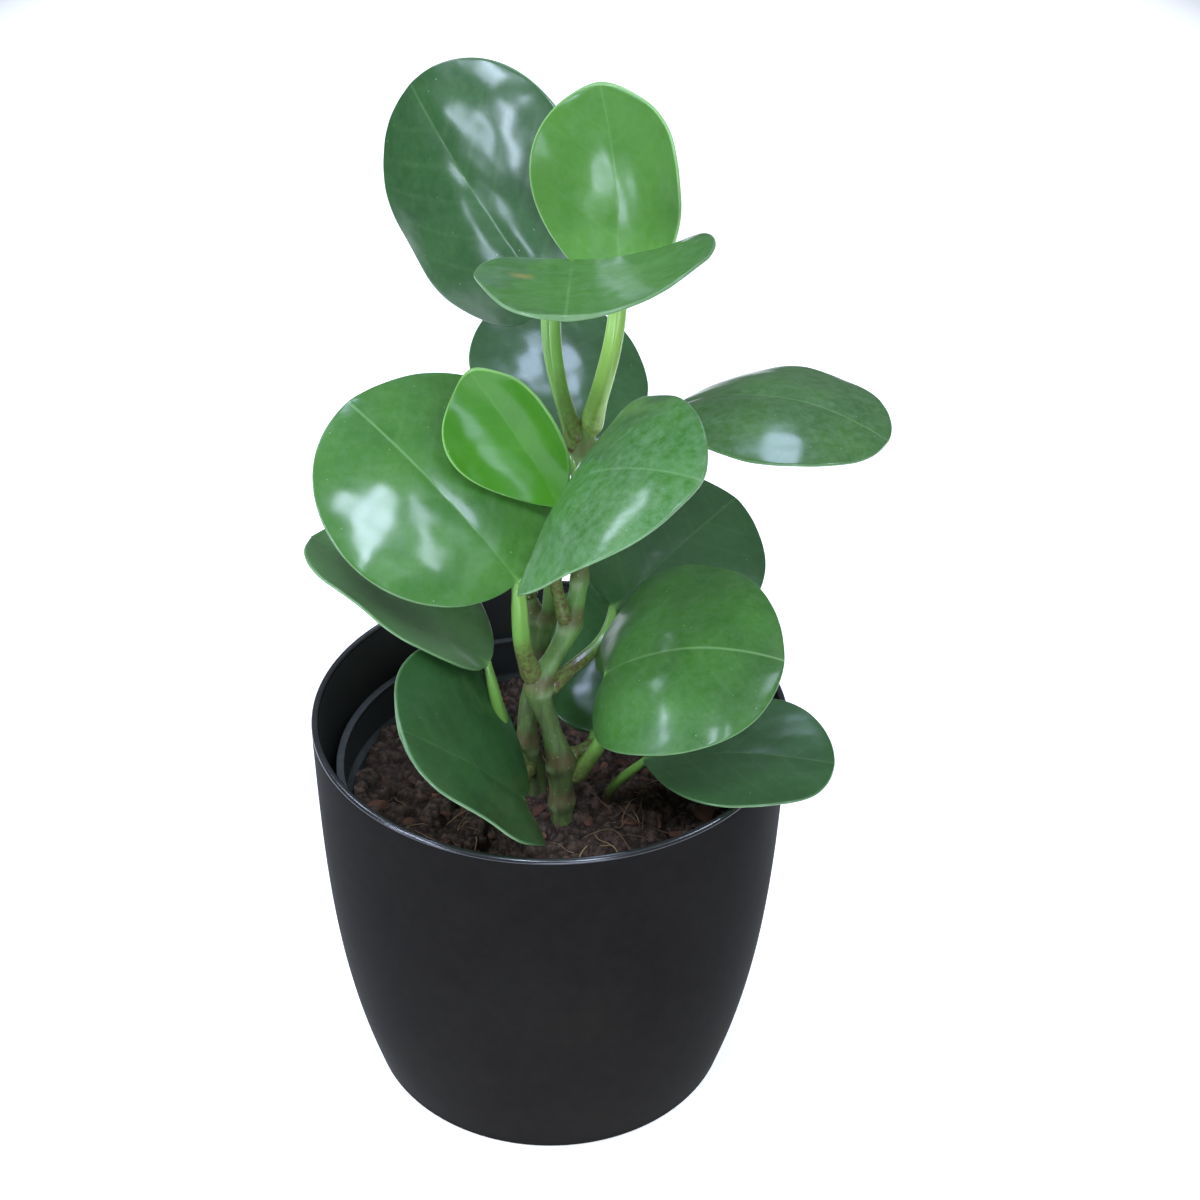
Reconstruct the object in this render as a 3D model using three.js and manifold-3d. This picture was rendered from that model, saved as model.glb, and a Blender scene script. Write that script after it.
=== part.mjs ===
// Potted peperomia: fleshy round leaves on two stems, rooted in a nursery pot, which stands
// loose inside a black plastic cachepot.
// Millimetres, +Z up. The origin is the centre of the cachepot's flat underside, and the side
// that is seen from the front faces -Y, with +X to its right.
import * as THREE from 'three';
import { mergeVertices } from 'three/addons/utils/BufferGeometryUtils.js';
import Module from 'manifold-3d';

const wasm = await Module();
wasm.setup();

// Cachepot
const POT_HEIGHT = 115.5;
const POT_RIM_RADIUS = 65;
const POT_BASE_RADIUS = 51.5;
const POT_SHOULDER_RADII = [64, 63.75];
const POT_WALL = 2;
const POT_FLOOR = 2.6;
const POT_FOOT_ROUND = 1.6;
const POT_PROFILE_STEPS = 8;
const POT_LIP_STEPS = 4;
const POT_FOOT_STEPS = 2;

// Nursery pot, in its own frame with its underside at zero
const NURSERY_HEIGHT = 96.6;
const NURSERY_RIM_RADIUS = 59;
const NURSERY_COLLAR_HEIGHT = 13;
const NURSERY_BODY_TOP_RADIUS = 56.6;
const NURSERY_BASE_RADIUS = 43;
const NURSERY_WALL = 1.3;
const NURSERY_LIP_WIDTH = 2.2;
const NURSERY_LIP_DEPTH = 1.6;
const NURSERY_COLLAR_INSET = 0.6;
const NURSERY_SHOULDER = 1;
const NURSERY_EDGE_BEVEL = 0.4;
const NURSERY_FLOOR = 1.8;
const DRAIN_HOLE_RADIUS = 4;
const DRAIN_HOLE_RING_RADIUS = 30;
const DRAIN_HOLE_COUNT = 6;
const DRAIN_CUT_SHARE = 3;

// Potting soil
const SOIL_DEPTH_BELOW_NURSERY_RIM = 13;
const SOIL_EDGE_DROP = 1;
const SOIL_RING_RADII = [7, 14, 21, 28, 35, 42, 49];
const SOIL_MOUND = { height: 2, spread: 30, centre: [0, -10] };
const SOIL_WAVES = [
	{ height: 0.45, perX: 0.31, perY: 0.05, phase: 1.3 },
	{ height: 0.30, perX: 0.53, perY: -0.44, phase: 2.1 },
	{ height: 0.25, perX: 0.12, perY: 0.71, phase: 0.4 },
];
const STEM_HOLE_DEPTH = 22;
const ROOTED_STALK_DEPTH = 12;

// Clearances and facets
const GAP = 0.3;
const POT_SEGMENTS = 48;
const DRAIN_SEGMENTS = 12;
const STEM_SIDES = 10;
const STEM_STEPS_PER_SPAN = 2;
const PETIOLE_SIDES = 8;
const PETIOLE_STEPS = 8;
const BLADE_LENGTH_STEPS = 12;
const BLADE_WIDTH_STEPS = 6;
const MERGE_DISTANCE = 1e-4;
const NEARLY_STRAIGHT = 1e-6;

// Leaves
const BLADE_MIDDLE_THICKNESS = 1.6;
const BLADE_MARGIN_THICKNESS = 0.8;
const PETIOLE_RADIUS = 2.1;
const PETIOLE_ROOT_SWELL = 0.5;
const PETIOLE_SWELL_SHARE = 0.2;
const PETIOLE_TIP_RADIUS = 1.3;
const PETIOLE_REACH_UNDER_BLADE = 6;
const PETIOLE_DROP_UNDER_BLADE = 0.9;
const PETIOLE_LIFT = 0.6;
const PETIOLE_LEAVING = 0.35;
const PETIOLE_ARRIVING = 0.4;
const LEAF_POINT_SHARE = 0.09;
const LOBE_SHARE = 3;

const nurseryLevel = POT_FLOOR + GAP;
const soilLevel = nurseryLevel + NURSERY_HEIGHT - SOIL_DEPTH_BELOW_NURSERY_RIM;

// Each stem is a list of stations: a point on its axis and the radius there, with the leaf
// nodes a little thicker. The first station of a rooted stem lies in the soil.
const MAIN_STEM = [
	[4, -14, soilLevel - STEM_HOLE_DEPTH, 3.2],
	[3, -16, soilLevel, 3.4],
	[3, -16, 98, 3.3],
	[3, -16, 108, 3.8],
	[0, -16, 121, 2.7],
	[-3, -16, 134, 3.5],
	[1, -14, 142, 2.5],
	[5, -12, 150, 2.9],
	[8, -6, 164, 2.0],
	[10, 0, 176, 2.6],
	[10, 1, 184, 2.3],
	[9, 4, 194, 2.9],
	[9, 5, 200, 2.2],
];
const BACK_STEM = [
	[-2, -4, soilLevel - STEM_HOLE_DEPTH, 2.7],
	[-3, -3, soilLevel, 3.1],
	[-6, -1, 104, 3.1],
	[-6, 1, 114, 2.6],
	[-3, 4, 129, 3.1],
	[-4, 6, 140, 3.0],
	[-5, 7, 145, 2.2],
];
const YOUNG_SHOOT = [
	[-3, 4, 129, 2.4],
	[-1, 3, 140, 2.0],
	[0, 1, 150, 2.0],
	[1, -2, 160, 2.2],
	[2, -4, 167, 1.7],
];

// Each leaf: where its blade starts, the heading (0 is +X, 90 is +Y), pitch and roll there,
// its size, how far the midrib bends and the blade cups over its length and half width, the
// reach of its basal lobes and how uneven they are, where it is widest, how uneven its halves
// are, its point, where its stalk leaves the stem, how far the stalk follows the midrib's
// line as it arrives, and how far it bows to the right. Angles are in degrees.
const LEAVES = [
	{ name: 'leaf_crown_left', base: [-1, 16, 231], heading: 143.5, pitch: 42, roll: -80,
		length: 65.5, width: 62, bend: -16, cup: -20, lobe: 0.07, wide: 1.07,
		root: [7, 3.5, 192], flow: 0.1, stalk: 1.8, bow: -2 },
	{ name: 'leaf_crown_right', base: [16.5, 4.5, 236.5], heading: 82, pitch: 62, roll: -24,
		length: 51, width: 45.5, bend: 33, cup: 38, lobe: -0.02, wide: 1.13, tip: 0.02, skew: -0.04,
		root: [9.5, 4.5, 194], stalk: 2.5 },
	{ name: 'leaf_crown_front', base: [5.3, -3, 249], heading: -92, pitch: 12, roll: 2,
		length: 56, width: 57, cup: 28, lobe: 0.04, skew: 0.23,
		root: [8, 4, 195], stalk: 1.5, bow: -7 },
	{ name: 'leaf_crown_back', base: [6, 24, 184], heading: 96, pitch: 24, roll: 8,
		length: 59, width: 50, bend: -16, cup: -12, root: [10, 2, 177] },
	{ name: 'leaf_right_far', base: [32, 9, 203], heading: -22, pitch: 32, roll: -3,
		length: 58, width: 55, bend: -60, cup: -15, wide: 1.05, skew: -0.04, root: [10, 0.5, 180] },
	{ name: 'leaf_left_large', base: [-8, -23, 171], heading: 159, pitch: 50, roll: -36,
		length: 64, width: 62, bend: -38, cup: -14, skew: -0.06,
		root: [-3, -16, 134], stalk: 2.5, bow: -4.5 },
	{ name: 'leaf_young', base: [3, -15.2, 187.6], heading: 147, pitch: 55, roll: -73,
		length: 40, width: 33, bend: 19, cup: 51, lobe: -0.04, wide: 1.28, tip: 0.07, skew: 0.08,
		root: [1.5, -3, 163], stalk: 1.8, flow: 0.8 },
	{ name: 'leaf_centre', base: [2, -20.5, 189], heading: -89, pitch: 59, roll: 62,
		length: 62, width: 58, bend: -73, cup: -13, lobe: 0.11, wide: 0.95, tip: 0.02, skew: -0.06,
		root: [4.5, -12.5, 151], stalk: 1.7, bow: -3 },
	{ name: 'leaf_right_back', base: [17, 9, 142], heading: 48, pitch: 15, roll: 28,
		length: 60, width: 52, bend: -20, cup: -10, wide: 0.93,
		root: [-1, -15.5, 132], stalk: 1.9, bow: 5 },
	{ name: 'leaf_right_front', base: [14.5, -20.5, 141], heading: -37, pitch: 50.5, roll: 36.5,
		length: 51, width: 60.5, bend: -83, cup: -21.5, lobe: 0.24, lobeSkew: 0.16, wide: 1.14,
		tip: 0.01, skew: 0.06, root: [3, -16, 100], bow: 9 },
	{ name: 'leaf_low_right', base: [25, -19, 112], heading: -10, pitch: 18,
		length: 51, width: 49, bend: -25, cup: 8, lobe: -0.05, wide: 1.05,
		root: [15, 3, soilLevel - ROOTED_STALK_DEPTH], stalk: 1.4 },
	{ name: 'leaf_left_low', base: [-16, -13, 139], heading: 154, pitch: 41, roll: 14,
		length: 58, width: 49, bend: -26, cup: 10, wide: 1.05, root: [-4.5, -2.5, 90], bow: -5 },
	{ name: 'leaf_left_front', base: [-7, -32, 108.5], heading: 217, pitch: 52, roll: -26,
		length: 52.5, width: 60, bend: -13, cup: 28, lobe: 0.14, lobeSkew: -0.12, wide: 1.18,
		tip: -0.02, skew: -0.1, root: [-4.5, -2, 96], stalk: 1.7, flow: 0.2, bow: -3 },
	{ name: 'leaf_behind_stems', base: [12, -7, 112], heading: 75, pitch: 28, roll: -5,
		length: 56, width: 46, bend: -10, cup: -5, root: [3, -16, 108] },
	{ name: 'leaf_back_left', base: [-10, 14, 160], heading: 125, pitch: 40, roll: 10,
		length: 50, width: 42, bend: -25, cup: -10, root: [-4.5, 6.5, 142] },
];

const LEAF_DEFAULTS = {
	roll: 0, bend: 0, cup: 0, lobe: 0, wide: 1, skew: 0, tip: 0, stalk: PETIOLE_RADIUS, flow: 0.6,
	bow: 0, lobeSkew: 0,
};

const radians = THREE.MathUtils.degToRad;
const vector = (point) => new THREE.Vector3(point[0], point[1], point[2]);

// A mesh from a flat list of coordinates and the triangles between them
function closedGeometry(positions, index) {
	const geometry = new THREE.BufferGeometry();
	geometry.setAttribute('position', new THREE.Float32BufferAttribute(positions, 3));
	geometry.setIndex(index);
	return geometry;
}

function toSolid(geometry) {
	const plain = geometry.clone();
	plain.deleteAttribute('normal');
	plain.deleteAttribute('uv');
	const merged = mergeVertices(plain, MERGE_DISTANCE);
	return new wasm.Manifold(new wasm.Mesh({
		numProp: 3,
		vertProperties: Float32Array.from(merged.attributes.position.array),
		triVerts: Uint32Array.from(merged.index.array),
	}));
}

// The largest body of a solid: a cut can leave a loose scrap beside it
function largestBody(solid) {
	const bodies = solid.decompose();
	return bodies.reduce((best, body) => (body.volume() > best.volume() ? body : best));
}

function toGeometry(solid) {
	const mesh = solid.getMesh();
	const geometry = new THREE.BufferGeometry();
	const positions = [];
	for (let i = 0; i < mesh.numVert; i += 1) {
		for (let axis = 0; axis < 3; axis += 1) {
			positions.push(mesh.vertProperties[i * mesh.numProp + axis]);
		}
	}
	geometry.setAttribute('position', new THREE.Float32BufferAttribute(positions, 3));
	geometry.setIndex(Array.from(mesh.triVerts));
	geometry.computeVertexNormals();
	return geometry;
}

// A lathe turned to stand along +Z: each profile point is a radius and a height
function turned(profile, segments) {
	const points = profile.map(([radius, height]) => new THREE.Vector2(radius, height));
	const geometry = new THREE.LatheGeometry(points, segments);
	geometry.rotateX(Math.PI / 2);
	return geometry;
}

// A round stretch of a profile, from one angle to another about its own centre
function roundCorner(centre, radius, fromDegrees, toDegrees, steps) {
	const corner = [];
	for (let i = 0; i <= steps; i += 1) {
		const angle = radians(fromDegrees + ((toDegrees - fromDegrees) * i) / steps);
		corner.push([centre[0] + radius * Math.cos(angle), centre[1] + radius * Math.sin(angle)]);
	}
	return corner;
}

// Radius of the cachepot's outside at a height: straight near the rim, drawn in at the foot
function potOuterRadius(height) {
	const down = 1 - height / POT_HEIGHT;
	const up = 1 - down;
	return POT_RIM_RADIUS * up ** 3
		+ 3 * POT_SHOULDER_RADII[0] * up * up * down
		+ 3 * POT_SHOULDER_RADII[1] * up * down * down
		+ POT_BASE_RADIUS * down ** 3;
}

function cachepotGeometry() {
	const footHeight = POT_FOOT_ROUND;
	const lipRadius = POT_WALL / 2;
	const lipHeight = POT_HEIGHT - lipRadius;
	const outside = [];
	const inside = [];
	for (let i = 0; i <= POT_PROFILE_STEPS; i += 1) {
		const part = i / POT_PROFILE_STEPS;
		const outerHeight = THREE.MathUtils.lerp(footHeight, lipHeight, part);
		const innerHeight = THREE.MathUtils.lerp(lipHeight, POT_FLOOR, part);
		outside.push([potOuterRadius(outerHeight), outerHeight]);
		inside.push([potOuterRadius(innerHeight) - POT_WALL, innerHeight]);
	}
	const footCentre = [potOuterRadius(footHeight) - POT_FOOT_ROUND, POT_FOOT_ROUND];
	const lipCentre = [potOuterRadius(lipHeight) - lipRadius, lipHeight];
	const foot = roundCorner(footCentre, POT_FOOT_ROUND, -90, 0, POT_FOOT_STEPS).slice(0, -1);
	const lip = roundCorner(lipCentre, lipRadius, 0, 180, POT_LIP_STEPS).slice(1, -1);
	return turned([[0, 0], ...foot, ...outside, ...lip, ...inside, [0, POT_FLOOR]], POT_SEGMENTS);
}

// Radius of the nursery pot's outside below its collar
function nurseryBodyRadius(height) {
	const collarBottom = NURSERY_HEIGHT - NURSERY_COLLAR_HEIGHT;
	return THREE.MathUtils.lerp(NURSERY_BASE_RADIUS, NURSERY_BODY_TOP_RADIUS, height / collarBottom);
}

function nurserySolid() {
	const collarBottom = NURSERY_HEIGHT - NURSERY_COLLAR_HEIGHT;
	const rimBottom = NURSERY_HEIGHT - NURSERY_LIP_DEPTH;
	const collarRadius = NURSERY_RIM_RADIUS - NURSERY_COLLAR_INSET;
	const lipInnerRadius = NURSERY_RIM_RADIUS - NURSERY_LIP_WIDTH;
	const topBevel = NURSERY_HEIGHT - NURSERY_EDGE_BEVEL;
	const shell = toSolid(turned([
		[0, 0],
		[NURSERY_BASE_RADIUS - NURSERY_EDGE_BEVEL, 0],
		[nurseryBodyRadius(NURSERY_EDGE_BEVEL), NURSERY_EDGE_BEVEL],
		[NURSERY_BODY_TOP_RADIUS, collarBottom],
		[collarRadius, collarBottom + NURSERY_SHOULDER],
		[collarRadius, rimBottom],
		[NURSERY_RIM_RADIUS, rimBottom],
		[NURSERY_RIM_RADIUS, topBevel],
		[NURSERY_RIM_RADIUS - NURSERY_EDGE_BEVEL, NURSERY_HEIGHT],
		[lipInnerRadius + NURSERY_EDGE_BEVEL, NURSERY_HEIGHT],
		[lipInnerRadius, topBevel],
		[collarRadius - NURSERY_WALL, rimBottom],
		[collarRadius - NURSERY_WALL, collarBottom + NURSERY_SHOULDER],
		[NURSERY_BODY_TOP_RADIUS - NURSERY_WALL, collarBottom],
		[nurseryBodyRadius(NURSERY_FLOOR) - NURSERY_WALL, NURSERY_FLOOR],
		[0, NURSERY_FLOOR],
	], POT_SEGMENTS));
	return drainHoles().reduce((solid, hole) => solid.subtract(hole), shell);
}

// One hole in the middle of the floor and a ring of holes round it
function drainHoles() {
	const places = [[0, 0]];
	for (let i = 0; i < DRAIN_HOLE_COUNT; i += 1) {
		const angle = (i / DRAIN_HOLE_COUNT) * Math.PI * 2;
		places.push([Math.cos(angle) * DRAIN_HOLE_RING_RADIUS, Math.sin(angle) * DRAIN_HOLE_RING_RADIUS]);
	}
	return places.map(([x, y]) => {
		const hole = new THREE.CylinderGeometry(
			DRAIN_HOLE_RADIUS, DRAIN_HOLE_RADIUS, NURSERY_FLOOR * DRAIN_CUT_SHARE, DRAIN_SEGMENTS,
		);
		hole.rotateX(Math.PI / 2);
		hole.translate(x, y, NURSERY_FLOOR / 2);
		return toSolid(hole);
	});
}

// Height of the soil's lumpy top above its level, with a low mound under the stems
function soilRelief(x, y) {
	const lumps = SOIL_WAVES.reduce(
		(sum, wave) => sum + wave.height * Math.sin(x * wave.perX + y * wave.perY + wave.phase),
		0,
	);
	const away = Math.hypot(x - SOIL_MOUND.centre[0], y - SOIL_MOUND.centre[1]);
	return lumps + SOIL_MOUND.height * Math.exp(-((away / SOIL_MOUND.spread) ** 2));
}

function soilGeometry() {
	const bottom = NURSERY_FLOOR + GAP;
	const top = Math.fround(NURSERY_HEIGHT - SOIL_DEPTH_BELOW_NURSERY_RIM);
	const wallAt = (height) => nurseryBodyRadius(height) - NURSERY_WALL - GAP;
	const rings = SOIL_RING_RADII.map((radius) => [radius, top]).reverse();
	const geometry = turned([
		[0, bottom],
		[wallAt(bottom), bottom],
		[wallAt(top - SOIL_EDGE_DROP), top - SOIL_EDGE_DROP],
		...rings,
		[0, top],
	], POT_SEGMENTS);
	const position = geometry.attributes.position;
	for (let i = 0; i < position.count; i += 1) {
		const x = position.getX(i);
		const y = position.getY(i);
		const z = position.getZ(i);
		if (z === top) position.setZ(i, z + soilRelief(x, y));
	}
	return geometry;
}

// A closed tube of round sections along a curve, with the radius given at each step
function tubeGeometry(points, radii, sides) {
	const positions = [];
	const index = [];
	const side = new THREE.Vector3(1, 0, 0);
	points.forEach((point, i) => {
		const before = points[Math.max(i - 1, 0)];
		const after = points[Math.min(i + 1, points.length - 1)];
		const along = after.clone().sub(before).normalize();
		side.addScaledVector(along, -side.dot(along)).normalize();
		const across = along.clone().cross(side);
		for (let k = 0; k < sides; k += 1) {
			const angle = (k / sides) * Math.PI * 2;
			const corner = point.clone()
				.addScaledVector(side, Math.cos(angle) * radii[i])
				.addScaledVector(across, Math.sin(angle) * radii[i]);
			positions.push(corner.x, corner.y, corner.z);
		}
	});
	const rings = points.length;
	for (let i = 0; i + 1 < rings; i += 1) {
		for (let k = 0; k < sides; k += 1) {
			const a = i * sides + k;
			const b = i * sides + ((k + 1) % sides);
			index.push(a, b, b + sides, a, b + sides, a + sides);
		}
	}
	const first = rings * sides;
	const last = first + 1;
	positions.push(points[0].x, points[0].y, points[0].z);
	positions.push(points[rings - 1].x, points[rings - 1].y, points[rings - 1].z);
	for (let k = 0; k < sides; k += 1) {
		const next = (k + 1) % sides;
		index.push(first, next, k);
		index.push(last, (rings - 1) * sides + k, (rings - 1) * sides + next);
	}
	return closedGeometry(positions, index);
}

// The points of a route, with both ends moved out by a clearance
function lengthened(points, extra) {
	const last = points.length - 1;
	const down = points[0].clone().sub(points[1]).setLength(1);
	const up = points[last].clone().sub(points[last - 1]).setLength(1);
	points[0].addScaledVector(down, extra);
	points[last].addScaledVector(up, extra);
	return points;
}

// A stem through its stations, fattened by a clearance where a hole or saddle is cut
function stemSolid(stations, extra = 0) {
	const curve = new THREE.CatmullRomCurve3(stations.map(vector), false, 'centripetal');
	const steps = (stations.length - 1) * STEM_STEPS_PER_SPAN;
	const points = [];
	const radii = [];
	for (let i = 0; i <= steps; i += 1) {
		const place = i / STEM_STEPS_PER_SPAN;
		const station = Math.min(Math.floor(place), stations.length - 2);
		const between = place - station;
		points.push(curve.getPoint(i / steps));
		radii.push(THREE.MathUtils.lerp(stations[station][3], stations[station + 1][3], between) + extra);
	}
	return toSolid(tubeGeometry(lengthened(points, extra), radii, STEM_SIDES));
}

// Directions of a leaf at its base: along the midrib, to its left half, and off its face
function leafAxes(leaf) {
	const heading = radians(leaf.heading);
	const pitch = radians(leaf.pitch);
	const roll = radians(leaf.roll);
	const along = new THREE.Vector3(
		Math.cos(pitch) * Math.cos(heading),
		Math.cos(pitch) * Math.sin(heading),
		Math.sin(pitch),
	);
	const level = new THREE.Vector3(-Math.sin(heading), Math.cos(heading), 0);
	const face = along.clone().cross(level);
	const left = level.clone().multiplyScalar(Math.cos(roll)).addScaledVector(face, Math.sin(roll));
	const up = face.multiplyScalar(Math.cos(roll)).addScaledVector(level, -Math.sin(roll));
	return { along, left, up };
}

// Length of an arc's run and rise after a distance, for a small or zero curvature too
function arc(distance, reach, angle) {
	const turn = (radians(angle) || NEARLY_STRAIGHT) / reach;
	return {
		run: Math.sin(turn * distance) / turn,
		rise: (1 - Math.cos(turn * distance)) / turn,
		turned: turn * distance,
	};
}

// A point of the blade: x along the midrib, y to the left, lifted off the middle surface
function bladePoint(leaf, axes, x, y, lift) {
	const along = arc(x, leaf.length, leaf.bend);
	const across = arc(y, leaf.width / 2, leaf.cup);
	const up = axes.up.clone().multiplyScalar(Math.cos(along.turned))
		.addScaledVector(axes.along, -Math.sin(along.turned));
	const normal = up.clone().multiplyScalar(Math.cos(across.turned))
		.addScaledVector(axes.left, -Math.sin(across.turned));
	return vector(leaf.base)
		.addScaledVector(axes.along, along.run)
		.addScaledVector(axes.up, along.rise)
		.addScaledVector(axes.left, across.run)
		.addScaledVector(up, across.rise)
		.addScaledVector(normal, lift);
}

// The margin's place at a part of the leaf's length, with basal lobes and a point at the tip.
// The side is 1 for the left half and -1 for the right one.
function marginAt(leaf, part, side) {
	const round = Math.sin(Math.PI * part);
	const lobe = leaf.length * leaf.lobe * (1 + leaf.lobeSkew * side);
	const point = leaf.length * leaf.tip * Math.exp(-(((1 - part) / LEAF_POINT_SHARE) ** 2));
	return {
		middle: leaf.length * (1 + leaf.tip) * (1 - Math.cos(Math.PI * part)) / 2,
		x: leaf.length * (1 - Math.cos(Math.PI * part)) / 2
			- lobe * round * (1 - part) ** 2 * LOBE_SHARE + point,
		y: (leaf.width / 2) * (1 + leaf.skew * side) * Math.sin(Math.PI * part ** leaf.wide),
	};
}

// The blade: two like faces of triangles, thickest at the midrib, joined round the margin
function bladeGeometry(leaf) {
	const axes = leafAxes(leaf);
	const rows = BLADE_LENGTH_STEPS - 1;
	const columns = BLADE_WIDTH_STEPS + 1;
	const faceSize = rows * columns + 2;
	const positions = [];
	const index = [];
	for (const side of [1, -1]) {
		for (let i = 1; i <= rows; i += 1) {
			for (let j = 0; j < columns; j += 1) {
				const v = (j / BLADE_WIDTH_STEPS) * 2 - 1;
				const margin = marginAt(leaf, i / BLADE_LENGTH_STEPS, Math.sign(v));
				const thickness = THREE.MathUtils.lerp(BLADE_MIDDLE_THICKNESS, BLADE_MARGIN_THICKNESS, v * v);
				const x = margin.middle * (1 - v * v) + margin.x * v * v;
				positions.push(...bladePoint(leaf, axes, x, margin.y * v, side * thickness / 2));
			}
		}
		for (const end of [0, 1]) {
			const x = marginAt(leaf, end, 0).middle;
			positions.push(...bladePoint(leaf, axes, x, 0, side * BLADE_MARGIN_THICKNESS / 2));
		}
	}
	const at = (i, j) => i * columns + j;
	const start = rows * columns;
	const tip = start + 1;
	const addTriangle = (a, b, c) => {
		index.push(a, b, c);
		index.push(a + faceSize, c + faceSize, b + faceSize);
	};
	for (let j = 0; j + 1 < columns; j += 1) {
		addTriangle(start, at(0, j), at(0, j + 1));
		addTriangle(tip, at(rows - 1, j + 1), at(rows - 1, j));
		for (let i = 0; i + 1 < rows; i += 1) {
			addTriangle(at(i, j), at(i + 1, j), at(i + 1, j + 1));
			addTriangle(at(i, j), at(i + 1, j + 1), at(i, j + 1));
		}
	}
	const rim = [start];
	for (let i = 0; i < rows; i += 1) rim.push(at(i, 0));
	rim.push(tip);
	for (let i = rows - 1; i >= 0; i -= 1) rim.push(at(i, columns - 1));
	rim.forEach((a, i) => {
		const b = rim[(i + 1) % rim.length];
		index.push(a, a + faceSize, b + faceSize, a, b + faceSize, b);
	});
	return closedGeometry(positions, index);
}

// The stalk leaves the stem rising, and comes in along the midrib just under the blade
function petioleCurve(leaf) {
	const axes = leafAxes(leaf);
	const root = vector(leaf.root);
	const base = vector(leaf.base);
	const reach = base.distanceTo(root);
	const up = new THREE.Vector3(0, 0, 1);
	const rising = base.clone().sub(root).addScaledVector(up, reach * PETIOLE_LIFT).normalize();
	const end = bladePoint(leaf, axes, PETIOLE_REACH_UNDER_BLADE, 0, -PETIOLE_DROP_UNDER_BLADE);
	const arriving = up.lerp(axes.along, leaf.flow).normalize();
	const bow = new THREE.Vector3(leaf.bow, 0, 0);
	return new THREE.CubicBezierCurve3(
		root,
		root.clone().addScaledVector(rising, reach * PETIOLE_LEAVING).add(bow),
		end.clone().addScaledVector(arriving, -reach * PETIOLE_ARRIVING).add(bow),
		end,
	);
}

function petioleSolid(leaf, extra = 0) {
	const points = petioleCurve(leaf).getPoints(PETIOLE_STEPS);
	const radii = points.map((point, i) => {
		const part = i / PETIOLE_STEPS;
		const swell = PETIOLE_ROOT_SWELL * Math.exp(-((part / PETIOLE_SWELL_SHARE) ** 2));
		const taper = THREE.MathUtils.lerp(leaf.stalk, PETIOLE_TIP_RADIUS, part ** 3);
		return taper + swell + extra;
	});
	return toSolid(tubeGeometry(lengthened(points, extra), radii, PETIOLE_SIDES));
}

function matt(color, roughness) {
	return new THREE.MeshStandardMaterial({ color, roughness, metalness: 0 });
}

const CACHEPOT_PLASTIC = matt('#242529', 0.42);
const NURSERY_PLASTIC = matt('#2b2c30', 0.55);
const SOIL = matt('#2c211b', 0.98);
const STEM = matt('#71834a', 0.55);
const LEAF_DARK = matt('#2e4a38', 0.34);
const LEAF_GREEN = matt('#3b6b35', 0.32);
const LEAF_LIGHT = matt('#5f9f50', 0.36);
const LEAF_YOUNG = matt('#4e9a2a', 0.36);

const LEAF_MATERIALS = {
	leaf_crown_right: LEAF_LIGHT,
	leaf_young: LEAF_YOUNG,
	leaf_crown_back: LEAF_DARK,
	leaf_right_back: LEAF_DARK,
	leaf_low_right: LEAF_DARK,
	leaf_behind_stems: LEAF_DARK,
};

function namedMesh(name, geometry, material) {
	const mesh = new THREE.Mesh(geometry, material);
	mesh.name = name;
	return mesh;
}

const leaves = LEAVES.map((leaf) => ({ ...LEAF_DEFAULTS, ...leaf }));
const mainStem = stemSolid(MAIN_STEM);
const backStem = stemSolid(BACK_STEM).add(stemSolid(YOUNG_SHOOT));
const stemRoom = stemSolid(MAIN_STEM, GAP).add(stemSolid(BACK_STEM, GAP)).add(stemSolid(YOUNG_SHOOT, GAP));

// Leaves are made one by one: each stalk is cut to a saddle round the stem, and gives way to
// the stalks that were made before it at the same node
function leafMeshes() {
	let taken = stemRoom;
	return leaves.map((leaf) => {
		const whole = petioleSolid(leaf).add(toSolid(bladeGeometry(leaf)));
		const cut = largestBody(whole.subtract(taken));
		taken = taken.add(petioleSolid(leaf, GAP));
		return namedMesh(leaf.name, toGeometry(cut), LEAF_MATERIALS[leaf.name] ?? LEAF_GREEN);
	});
}

const nursery = new THREE.Group();
nursery.position.z = nurseryLevel;
nursery.add(namedMesh('nursery_pot', toGeometry(nurserySolid()), NURSERY_PLASTIC));

const rootedStalk = petioleSolid(leaves.find((leaf) => leaf.name === 'leaf_low_right'), GAP);
const stemHoles = stemRoom.add(rootedStalk).translate([0, 0, -nurseryLevel]);
const soil = toSolid(soilGeometry()).subtract(stemHoles);
nursery.add(namedMesh('potting_soil', toGeometry(soil), SOIL));

const plant = new THREE.Group();
plant.add(namedMesh('stem_main', toGeometry(mainStem), STEM));
plant.add(namedMesh('stem_back', toGeometry(backStem), STEM));
plant.add(...leafMeshes());

const pottedPeperomia = new THREE.Group();
pottedPeperomia.add(namedMesh('cachepot', cachepotGeometry(), CACHEPOT_PLASTIC));
pottedPeperomia.add(nursery);
pottedPeperomia.add(plant);

export default pottedPeperomia;
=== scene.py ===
# Potted peperomia: finer leaves, stems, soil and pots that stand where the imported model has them.
# Lengths are in millimetres until a mesh is made, where they become metres.
import logging
import math
from collections.abc import Callable
from dataclasses import dataclass
from enum import Enum
from functools import partial
from typing import Any

import bmesh
import bpy
import numpy as np
from mathutils import Matrix, Vector
from mathutils.kdtree import KDTree


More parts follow.
